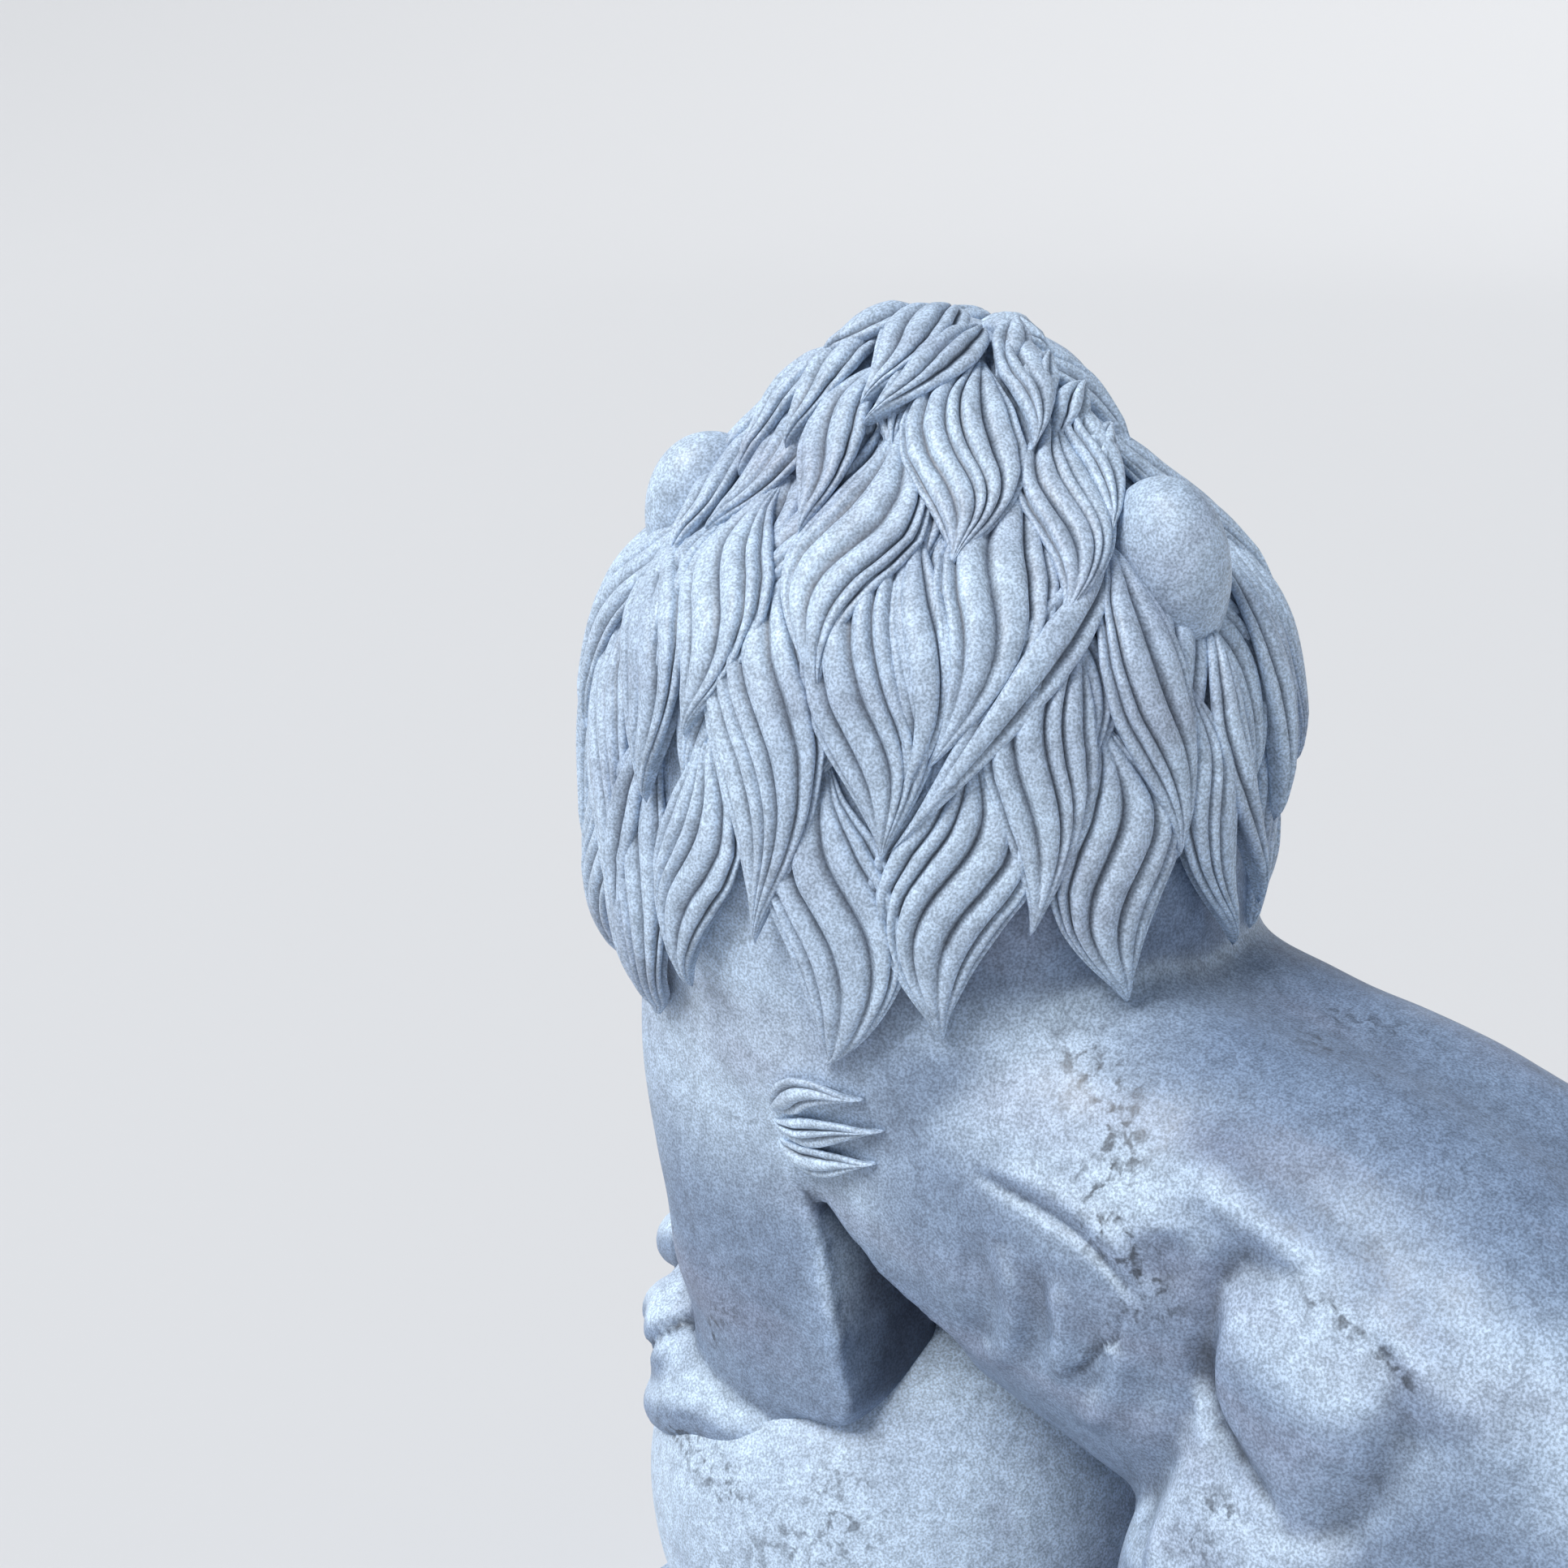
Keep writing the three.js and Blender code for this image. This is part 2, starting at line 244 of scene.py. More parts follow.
def mirrored(mesh):
    """The same shape on the lion's other side."""
    other = mesh.copy()
    set_points(other, points_of(other) * (-1, 1, 1))
    return faced_out(other)


def both_sides(meshes):
    return [m for mesh in meshes for m in (mesh, mirrored(mesh))]


def joined(meshes, name):
    """All the meshes in one, still apart from each other."""
    bm = bmesh.new()
    for mesh in meshes:
        bm.from_mesh(mesh)
    whole = bpy.data.meshes.new(name)
    bm.to_mesh(whole)
    bm.free()
    return whole


def carved_from(meshes, name, voxel):
    """One closed skin round all the meshes."""
    block = bpy.data.objects.new(name, joined(meshes, name))
    bpy.context.scene.collection.objects.link(block)
    remesh = block.modifiers.new("skin", "REMESH")
    remesh.mode = "VOXEL"
    remesh.voxel_size = voxel
    graph = bpy.context.evaluated_depsgraph_get()
    skin = bpy.data.meshes.new_from_object(block.evaluated_get(graph))
    bpy.data.objects.remove(block)
    skin.name = name
    return skin


# Carving: each tool moves the points of a skin

DOME_EDGE = 0.8  # less for a steeper edge of a dome
STROKE_REACH = 3  # widths off its path at which a stroke has died away
STROKE_FADE = 1.8  # more for a shorter fade at a stroke's ends
FLANK_FACING = (0.1, 0.5)  # how far a flank turns outwards where its strokes begin and count in full
WAVES = 14  # added up for the unevenness of hand work
WAVE_SPREAD = (0.7, 1.6)  # shares of the wave length asked for

class Skin:
    """The points of a mesh, and the tools that carve them. Lengths are in shares."""

    def __init__(self, mesh):
        self.mesh = mesh
        self.points = points_of(mesh)
        pairs = np.empty(2 * len(mesh.edges), np.int32)
        mesh.edges.foreach_get("vertices", pairs)
        a, b = pairs.reshape(-1, 2).T
        self.ends = np.concatenate([a, b])
        self.others = np.concatenate([b, a])
        self.count = np.bincount(self.ends, minlength=len(self.points))

    def neighbours(self, values):
        """The mean of each point's neighbours."""
        flat = values.reshape(len(self.points), -1)
        sums = [
            np.bincount(self.ends, column[self.others], minlength=len(self.points))
            for column in flat.T
        ]
        mean = np.array(sums).T / self.count[:, None]
        return mean.reshape(values.shape)

    def smooth(self, rounds, amount=1.0):
        """Amount is one number, or one for each point."""
        share = np.broadcast_to(0.5 * np.asarray(amount, float), len(self.points))[:, None]
        for _ in range(rounds):
            self.points += share * (self.neighbours(self.points) - self.points)
        return self

    def normals(self):
        set_points(self.mesh, self.points)
        return normals_of(self.mesh)

    def near(self, centre, radii):
        """1 at the centre, falling to 0 at the radii and beyond."""
        far = np.linalg.norm((self.points - centre) / radii, axis=1)
        return 1 - smoothstep(far, 0.0, 1.0)

    def swell(self, centre, radii, height):
        self.points += self.normals() * (height * self.near(centre, radii))[:, None]
        return self

    def dome(self, centre, radii, height):
        """A round-topped swelling with a clear edge."""
        far = np.linalg.norm((self.points - centre) / radii, axis=1)
        rise = height * np.clip(1 - far**2, 0, 1) ** DOME_EDGE
        self.points += self.normals() * rise[:, None]
        return self

    def along_path(self, path, reach, samples=90):
        """The points within reach of a curve, how far off they lie, and how far along it.

        A curve of two measures runs rearwards and upwards, and counts at any place across.
        """
        fine = along(path, np.linspace(0, 1, samples))
        places = self.points[:, -fine.shape[1] :]
        low, high = fine.min(axis=0) - reach, fine.max(axis=0) + reach
        near = np.nonzero(((places > low) & (places < high)).all(axis=1))[0]
        gaps = np.linalg.norm(places[near, None] - fine[None], axis=2)
        return near, gaps.min(axis=1), gaps.argmin(axis=1) / (samples - 1)

    def on_skin(self, path, samples=24):
        """The points of the skin that lie nearest to a curve in space, in order and evened out."""
        fine = along(path, np.linspace(0, 1, samples))
        nearest = [np.linalg.norm(self.points - place, axis=1).argmin() for place in fine]
        hits = self.points[nearest]
        return np.vstack([hits[0], (hits[:-2] + hits[1:-1] + hits[2:]) / 3, hits[-1]])

    def stroke(self, path, width, height, side=0):
        """Raises a ridge along a path, or cuts a groove where the height is below zero.

        It fades out at its ends. A path of two measures lies on the flank of the side named, 1 or -1.
        """
        near, far, where = self.along_path(path, STROKE_REACH * width)
        normals = self.normals()[near]
        fade = np.clip(np.sin(np.pi * where) * STROKE_FADE, 0, 1)
        if side:
            fade = fade * smoothstep(side * normals[:, 0], *FLANK_FACING)
        move = height * np.exp(-((far / width) ** 2)) * fade
        self.points[near] += normals * move[:, None]
        return self

    def rasp(self, size, height, seed):
        """Slow unevenness of the hand-worked surface."""
        rng = np.random.default_rng(seed)
        move = np.zeros(len(self.points))
        for _ in range(WAVES):
            wave = rng.normal(size=3)
            wave *= 2 * np.pi / (size * rng.uniform(*WAVE_SPREAD) * np.linalg.norm(wave))
            move += np.sin(self.points @ wave + rng.uniform(0, 2 * np.pi))
        self.points += self.normals() * (height * move / WAVES**0.5)[:, None]
        return self

    def done(self):
        set_points(self.mesh, self.points)
        return self.mesh


TURN = np.array(Matrix.Rotation(math.radians(HEAD_TURN), 3, "Z"))


def turned_head(points):
    """From the neck's own axes to the lion's."""
    return points @ TURN.T + NECK


# Ball and body

UNEVENNESS = 0.5  # height of the tool's waves on ball and body


def ball():
    mesh = sphere(112, 72)
    set_points(mesh, points_of(mesh) * BALL_RADIUS + BALL_CENTRE)
    return Skin(mesh).rasp(90, UNEVENNESS, SEED).done()


def forelegs():
    """The left foreleg with its shoulder and paw, on the ball."""
    arm = limb(
        (
            (96, -280, 600, 66, 104, 90),
            (103, -288, 540, 62, 96, 90),
            (107, -295, 483, 57, 78, 88),
            (108, -284, 430, 53, 78, 86),
            (109, -270, 375, 50, 82, 84),
            (107, -260, 330, 48, 80, 82),
            (104, -262, 286, 46, 76, 80),
        ),
        power=(3, 12),
        front=2.2,
        ends=14,
        around=96,
    )
    shoulder = ellipsoid((86, -240, 522), (84, 160, 108), (16, 0, 0))
    crest = ellipsoid((70, -225, 560), (110, 170, 96), (10, 0, 0))
    paw = ellipsoid((92, -336, 284), (54, 62, 46), (-34, 26, 0))
    toes = [ellipsoid(at, size, FORETOE_TURN) for at, size in zip(FORETOES, FORETOE_SIZES)]
    pad = ellipsoid((110, -290, 268), (51, 84, 44))
    return [arm, shoulder, crest, paw, pad, *toes]


# Middles of a forepaw's toes, from the outer to the inner
FORETOES = (
    (126, -334, 263),
    (90, -380, 294),
    (48, -404, 322),
    (14, -410, 336),
)
FORETOE_SIZES = ((34, 58, 26), (25, 46, 24), (25, 46, 25), (25, 46, 25))
FORETOE_TURN = (34, 26, 0)
# The crease between two toes, from their ends back over their tops, and its width and depth
TOE_CREASE = ((10, -22, -24), (8, -10, 0), (0, 14, 18), (-6, 40, 26))
CREASE_WIDTH = 4.5
CREASE_DEPTH = 8


# The neck under the lowest locks, as the profile of the mane, and how far it lies below the mane
COLLAR = ((470, 160, 150), *MANE_PROFILE[:4], (770, 200, 184))
COLLAR_DEPTH = 7
SPINE_DEPTH = 12


def trunk():
    """Back, chest and neck, and the stone left standing below chest and belly."""
    back = limb(
        (
            (0, -330, 560, 108, 116, 10),
            (0, -250, 526, 148, 140, 12),
            (0, -150, 494, 162, 146, 14),
            (0, -30, 462, 158, 152, 16),
            (0, 80, 434, 148, 164, 18),
            (0, 180, 402, 144, 154, 26),
            (0, 250, 350, 132, 130, 46),
            (0, 276, 280, 112, 108, 66),
            (0, 270, 230, 90, 84, 80),
        ),
        power=(2.4, 2.4),
        groove=SPINE_DEPTH,
        around=96,
        steps=80,
    )
    chest = ellipsoid((0, -352, 510), (108, 72, 140))
    neck = limb(
        ((0, -250, 520, 150, 150, 90), (0, -235, 620, 150, 160, 90), (0, -230, 720, 130, 130, 90))
    )
    collar = limb(
        [(0, 0, z, side - COLLAR_DEPTH, depth - COLLAR_DEPTH, 90) for z, side, depth in COLLAR],
        ends=14,
        around=96,
    )
    set_points(collar, turned_head(points_of(collar)))
    web = limb(
        ((0, -302, 300, 106, 98, 90), (0, -302, 400, 98, 98, 90), (0, -290, 560, 100, 120, 90)),
        power=(4, 4),
        ends=20,
    )
    under_belly = limb(
        ((0, 140, -20, 88, 156, 90), (0, 140, 160, 88, 148, 90), (0, 140, 300, 96, 140, 90)),
        power=(3, 3),
        ends=20,
    )
    return [back, chest, neck, collar, web, under_belly]


def hind_legs():
    """The left hind leg."""
    haunch = ellipsoid((72, 150, 414), (84, 122, 146), (-14, 0, 0))
    thigh = ellipsoid((118, 90, 300), (66, 90, 136), (-16, 0, 0))
    shank = limb(
        ((128, 64, 210, 46, 62, 70), (140, 132, 140, 42, 52, 50), (148, 232, 96, 36, 44, 40))
    )
    foot = limb(
        (
            (148, 262, 84, 28, 34, 120),
            (148, 232, 40, 36, 42, 150),
            (148, 130, 24, 40, 36, 180),
            (146, 40, 24, 50, 38, 180),
            (146, -18, 18, 50, 28, 180),
        ),
        ends=8,
    )
    toes = [
        ellipsoid((146 + 26 * k, -28 + 5 * k * k, 22), (15, 30, 26))
        for k in HIND_TOES
    ]
    heel = ellipsoid((148, 244, 76), (33, 38, 56), (-16, 0, 0))
    return [haunch, thigh, shank, foot, heel, *toes]


HIND_TOES = (-1.5, -0.5, 0.5, 1.5)  # from the middle of the foot, in toes
TAIL = (
    (0, 250, 430),
    (4, 352, 352),
    (4, 318, 200),
    (-16, 316, 84),
    (-84, 352, 30),
    (-178, 362, 24),
    (-226, 290, 24),
    (-228, 190, 24),
)
TAIL_RADII = (40, 34, 30, 26, 24, 22, 21, 19)
# The tuft at the tail's end: its middle, and how it swells
TUFT_LINE = ((-228, 250, 24), (-226, 216, 28), (-220, 160, 30), (-216, 112, 24), (-214, 92, 20))
TUFT_RADII = (18, 27, 31, 16, 6)
TUFT_CORDS = 9
TUFT_ARC = (-50, 230)  # degrees round the tuft from its first groove to its last
TUFT_TWIST = 0.7  # how far each winds on its way, in radians
TUFT_GROOVE_WIDTH = 3
TUFT_GROOVE_DEPTH = 4.5


def carve_tail_tuft(skin):
    """Grooves that wind along the tuft and part it into cords of hair."""
    line = np.array(TUFT_LINE, float)
    radii = np.array(TUFT_RADII, float)
    for k in range(TUFT_CORDS):
        start = TUFT_ARC[0] + (TUFT_ARC[1] - TUFT_ARC[0]) * k / (TUFT_CORDS - 1)
        turn = np.radians(start) + np.linspace(0, TUFT_TWIST, len(line))
        around = np.column_stack([np.cos(turn), 0 * turn, np.sin(turn)])
        path = skin.on_skin(line + radii[:, None] * around)
        skin.stroke(path, TUFT_GROOVE_WIDTH, -TUFT_GROOVE_DEPTH)


# Strokes on the flanks, read off the photograph: width, height, and path rearwards and upwards
FLANK_STROKES = (
    (6, 4, ((-224, 500), (-221, 482), (-207, 431), (-191, 374), (-184, 332), (-189, 296))),
    (13, -5, ((-93, 486), (-86, 461), (-80, 437), (-86, 420), (-106, 402))),
    (9, 5, ((-76, 484), (-62, 455), (-62, 433), (-76, 409), (-101, 390))),
    (13, -5, ((-48, 482), (-45, 453), (-48, 431), (-60, 405))),
    (9, 5, ((-40, 478), (-31, 450), (-30, 432), (-38, 406))),
    (12, -4, ((-5, 464), (-11, 441), (-8, 425), (-24, 401))),
    (9, 4, ((6, 446), (2, 420), (-6, 401), (-26, 380))),
    (2.6, -2.6, ((8, 469), (0, 447), (-7, 442), (-12, 430), (-28, 410))),
    (3.5, -2.6, ((-94, 522), (-65, 516), (-41, 510), (-20, 503), (-3, 492), (14, 476))),
    (8, 2, ((-80, 530), (-46, 524), (-14, 512), (12, 492))),
    (15, 6, ((12, 568), (50, 547), (105, 524), (152, 505), (205, 470))),
    (20, -6, ((20, 520), (34, 480), (34, 440), (22, 400))),
    (8, -8, ((84, 528), (60, 506), (53, 478), (52, 443), (66, 420), (100, 402), (126, 384))),
    (16, -3, ((172, 476), (166, 446), (150, 410), (128, 384))),
    (9, -5, ((52, 464), (48, 431), (34, 384), (26, 349), (34, 320))),
    (9, 4, ((66, 400), (50, 366), (44, 340), (52, 312))),
    (3, -1.2, ((83, 519), (113, 513), (143, 502), (168, 487))),
)
FINE_BOX = ((100, -110, 370), (190, 60, 540))  # its lowest and its highest corner
THIGH_MUSCLE = (152, 110, 452)
THIGH_MUSCLE_REACH = (60, 55, 70)
THIGH_MUSCLE_RISE = 14
PLAIN_SIDE = 0.5  # strength of the carving on the side that the photograph hides
# The hollow under the elbow: its upper edge, and the edge of the leg in front of it
UNDERCUT_TOP = ((-232, 500), (-210, 465), (-170, 430), (-149, 416), (-110, 396))
UNDERCUT_FRONT = ((-184, 300), (-191, 374), (-207, 431), (-226, 492))
UNDERCUT_DEPTH = 62
UNDERCUT_SPREAD = 8  # width of its rims
UNDERCUT_BACK = (-140, -108)  # where it runs out rearwards
UNDERCUT_FOOT = (150, 220)  # where it runs out downwards
UNDERCUT_CORE = 70  # half width of the stone left between the two sides


def under_elbow(points, spread):
    """1 in the hollow under the elbow, falling to 0 over the spread at its edges."""
    _, y, z = points.T
    top = np.interp(y, *np.array(UNDERCUT_TOP).T)
    front = np.interp(z, *np.array([(z, y) for y, z in UNDERCUT_FRONT]).T)
    inside = smoothstep(top - z, 0, spread) * smoothstep(y - front, 0, spread)
    return inside * (1 - smoothstep(y, *UNDERCUT_BACK)) * smoothstep(z, *UNDERCUT_FOOT)


def undercut(skin):
    """Pushes the flank below its lower edge in, close behind the forelegs."""
    x = skin.points[:, 0]
    room = np.maximum(np.abs(x) - UNDERCUT_CORE, 0)
    depth = UNDERCUT_DEPTH * under_elbow(skin.points, UNDERCUT_SPREAD)
    skin.points[:, 0] -= np.sign(x) * np.minimum(depth, room)


def carve_flanks(skin):
    for side in (1, -1):
        strength = 1 if side > 0 else PLAIN_SIDE
        rise = strength * THIGH_MUSCLE_RISE
        skin.dome(np.array(THIGH_MUSCLE) * (side, 1, 1), THIGH_MUSCLE_REACH, rise)
        for width, height, path in FLANK_STROKES:
            skin.stroke(path, width, strength * height, side)


def carve_toes(skin):
    """Parts the toes of the forepaws."""
    toes = np.array(FORETOES, float)
    for middle in (toes[1:] + toes[:-1]) / 2:
        for side in (1, -1):
            path = (middle + TOE_CREASE) * (side, 1, 1)
            skin.stroke(skin.on_skin(path), CREASE_WIDTH, -CREASE_DEPTH)


def finer_on_flank(mesh):
    """Halves the spacing of the points where the finest lines on the left flank run."""
    low, high = FINE_BOX
    bm = bmesh.new()
    bm.from_mesh(mesh)

    def is_inside(vertex):
        return all(a < c < b for a, c, b in zip(low, vertex.co, high))

    edges = [edge for edge in bm.edges if is_inside(edge.verts[0]) and is_inside(edge.verts[1])]
    bmesh.ops.subdivide_edges(bm, edges=edges, cuts=1, use_grid_fill=True)
    bm.to_mesh(mesh)
    bm.free()
    return mesh


BLEND_ROUNDS = 34  # of smoothing, where the body's forms run into one another
BLEND_LEAST = 0.02  # share of it that every form gets


def body():
    """Trunk, legs, paws and tail in one skin."""
    forms = [
        *trunk(),
        *both_sides([*forelegs(), *hind_legs()]),
        tube(TAIL, TAIL_RADII),
        tube(TUFT_LINE, TUFT_RADII),
    ]
    skin = Skin(carved_from(forms, "body", BODY_VOXEL))
    skin.smooth(1)
    _, y, z = skin.points.T
    flank = smoothstep(z, 330, 430)
    foreleg = smoothstep(-y, 150, 168) * (1 - smoothstep(z, 470, 520))
    low = 1 - smoothstep(z, 90, 200)
    skin.smooth(BLEND_ROUNDS, np.clip(0.25 + flank - 1.3 * foreleg - low, BLEND_LEAST, 1))
    undercut(skin)
    skin = Skin(finer_on_flank(carved_from([skin.done()], "body", BODY_VOXEL)))
    carve_flanks(skin)
    carve_toes(skin)
    carve_tail_tuft(skin)
    skin.smooth(1, 0.6)
    skin.rasp(60, UNEVENNESS, SEED + 1)
    skin.points[:, 2] = np.maximum(skin.points[:, 2], -ROOT_DEPTH)
    return skin.done()


# Mane: a ground of hair, and pointed locks laid over it like scales

PERCENT = 0.01
MANE_CURVE = [(side, depth, z) for z, side, depth in MANE_PROFILE]
MANE_LENGTH = float(
    np.linalg.norm(np.diff(evenly(MANE_CURVE, np.linspace(0, 1, 200)), axis=0), axis=1).sum()
)


def mane_point(degrees, share):
    side, depth, z = evenly(MANE_CURVE, np.clip(share, 0, 1)).T
    turn = np.radians(degrees)
    return np.column_stack([side * np.sin(turn), -depth * np.cos(turn), z])


def mane_normal(angle, percent):
    share = percent * PERCENT
    round_it = mane_point(angle + 1, share) - mane_point(angle - 1, share)
    up_it = mane_point(angle, share + 0.01) - mane_point(angle, share - 0.01)
    normal = np.cross(round_it, up_it)
    return normal / np.linalg.norm(normal, axis=1, keepdims=True)


def on_mane(angle, percent, lift):
    """Places on the mane: degrees round from the nose towards the lion's left, and percent up."""
    rise = mane_normal(angle, percent) * np.reshape(lift, (-1, 1))
    return mane_point(angle, percent * PERCENT) + rise


LEAST_RADIUS = 14  # of the mane at the crown, as far as its locks are concerned


def mane_stretch(angle, percent):
    """The length of one degree round and of one percent up."""
    side, depth, _ = evenly(MANE_CURVE, np.clip(percent * PERCENT, 0, 1)).T
    round_it = np.radians(np.maximum((side + depth) / 2, LEAST_RADIUS))
    return round_it, np.full_like(round_it, MANE_LENGTH * PERCENT)


def tree_of(mesh):
    """The mesh as a tree that answers where a line meets it."""
    corners = [tuple(face.vertices) for face in mesh.polygons]
    return BVHTree.FromPolygons([v.co.copy() for v in mesh.vertices], corners)


def body_over_mane(tree, degrees=3, percents=2, top=44, depth=18):
    """Where the mane's ground lies inside the body: the way out to the skin, and the way it faces.

    Both are rows of degrees by percent, up to the top. The facing turns over to the body's own
    within the depth.
    """
    rounds, heights = np.arange(0.0, 361, degrees), np.arange(0.0, top + 1, percents)
    way_out = np.zeros((len(rounds), len(heights), 3))
    facing = np.zeros_like(way_out)
    for j, percent in enumerate(heights):
        level = np.full(len(rounds), percent)
        places = turned_head(on_mane(rounds, level, 0))
        facing[:, j] = mane_normal(rounds, level)
        for i, place in enumerate(places):
            skin, normal, _, distance = tree.find_nearest(Vector(place))
            if (Vector(place) - skin).dot(normal) < 0:
                way_out[i, j] = np.array(skin - Vector(place)) @ TURN
                facing[i, j] += 2 * smoothstep(distance, 0, depth) * (np.array(normal) @ TURN)
    return rounds, heights, way_out, facing


# How a lock widens and thickens from its root to its tip
LOCK_WIDTH = (
    (0, 0.08),
    (0.12, 0.36),
    (0.26, 0.78),
    (0.4, 1),
    (0.52, 0.97),
    (0.66, 0.72),
    (0.8, 0.4),
    (0.9, 0.16),
    (0.96, 0.06),
    (1, 0),
)
LOCK_BODY = ((0, 0.1), (0.12, 0.6), (0.3, 0.95), (0.6, 1), (0.85, 0.8), (0.96, 0.45), (1, 0))
CORD_WIDTH = 11  # of a cord of hair
CORD_DEPTH = 7.5  # of the groove between two
CORD_STEPS = 6  # points across a cord
UNDER_STEPS = 7  # points across the underside of a lock
LOCK_STEPS = 32  # points down a lock
CORD_ROUNDNESS = 0.96  # 1 for cords that meet in a sharp line
CORD_WANDER = 0.05  # how unlike each other the cords' widths are
CORD_BEND = 0.09  # how far they bend across the lock
LOCK_BEND = 0.08  # how far the lock bends, in widths
LOCK_CROWN = 0.62  # less for a flatter top
TIP_GROOVE = 2.2  # more for grooves that stay deep further into the tip


def rated(table, s):
    """The table's value at each share s."""
    places, values = np.array(table, float).T
    return np.interp(s, places, values)


def lock(ground, stretch, path, width, thick=14, sway=1.0, lifts=(-8, 3, 9), seed=0):
    """A pointed lock of corded hair along a path in the ground's two measures, from root to tip.

    The ground gives the place for both measures and a lift, and stretch gives their lengths.
    """
    rng = np.random.default_rng(seed)
    cords = max(3, round(width / CORD_WIDTH))
    over = cords * CORD_STEPS
    around = over + UNDER_STEPS
    mesh = sphere(around, LOCK_STEPS)
    s, angle = polar(points_of(mesh))
    pole = (s < 1e-3) | (s > 1 - 1e-3)
    turn = np.round((angle / (2 * np.pi)) % 1 * around) % around
    on_top = turn <= over
    c = np.where(on_top, turn / over, 1 - (turn - over) / UNDER_STEPS)
    within = 2 * (c * cords - np.floor(c * cords)) - 1
    hollow = 1 - np.sqrt(1 - CORD_ROUNDNESS * within**2)
    c = c + CORD_WANDER * np.sin(3 * np.pi * c + rng.uniform(0, 6)) * np.sin(np.pi * c)
    c = c + CORD_BEND * sway * np.sin(2 * np.pi * s) * np.sin(np.pi * c)
    u, top = np.cos(np.pi * c), np.clip(np.sin(np.pi * c), 0, 1) ** LOCK_CROWN
    wide = width / 2 * rated(LOCK_WIDTH, s)
    deep = thick * rated(LOCK_BODY, s)
    groove = CORD_DEPTH * np.minimum(1, TIP_GROOVE * wide / width) * hollow * on_top
    norm = np.hypot(u * deep, top * wide) + TINY
    x = wide * u - groove * u * deep / norm
    y = np.where(on_top, deep * top, -0.5 * deep * top) - groove * top * wide / norm
    x[pole], y[pole] = 0, 0
    middle = along(path, s)
    per_u, per_v = stretch(middle[:, 0], middle[:, 1])
    heading = (along(path, s + 0.01) - along(path, s - 0.01)) * np.column_stack([per_u, per_v])
    heading /= np.linalg.norm(heading, axis=1, keepdims=True)
    shift = x - LOCK_BEND * sway * width * np.sin(2 * np.pi * s)
    across = middle[:, 0] - heading[:, 1] * shift / per_u
    upward = middle[:, 1] + heading[:, 0] * shift / per_v
    lift = np.interp(s, (0, 0.5, 1), lifts)
    set_points(mesh, ground(across, upward, lift + y))
    return faced_out(mesh)


def mane_lock(root, belly, tip, width, sway, seed, **how):
    """A lock of the mane through three places, each in degrees round and percent of the way up."""
    return lock(over_body, mane_stretch, (root, belly, tip), width, sway=sway, seed=seed, **how)


def over_body(angle, percent, lift):
    """Places on the mane, or on the body where that stands further out."""
    rounds, heights, way_out, facing = PROUD
    i = np.clip((angle % 360) / (rounds[1] - rounds[0]), 0, len(rounds) - 1.001)
    j = np.clip(percent / (heights[1] - heights[0]), 0, len(heights) - 1.001)
    a, b = i.astype(int), j.astype(int)
    across, upward = (i - a)[:, None], (j - b)[:, None]

    def between(grid):
        low = grid[a, b] * (1 - across) + grid[a + 1, b] * across
        high = grid[a, b + 1] * (1 - across) + grid[a + 1, b + 1] * across
        return low * (1 - upward) + high * upward

    on_top = (percent > heights[-1])[:, None]
    outward = np.where(on_top, mane_normal(angle, percent), between(facing))
    outward /= np.linalg.norm(outward, axis=1, keepdims=True)
    moved = np.where(on_top, 0, between(way_out))
    return mane_point(angle, percent * PERCENT) + moved + outward * np.reshape(lift, (-1, 1))


LOCK_FULLNESS = 1.14  # widths of the seen locks, over the widths read off
SEEN_LIFTS = (-7, 1, 4)  # how far their root, belly and tip stand off the ground
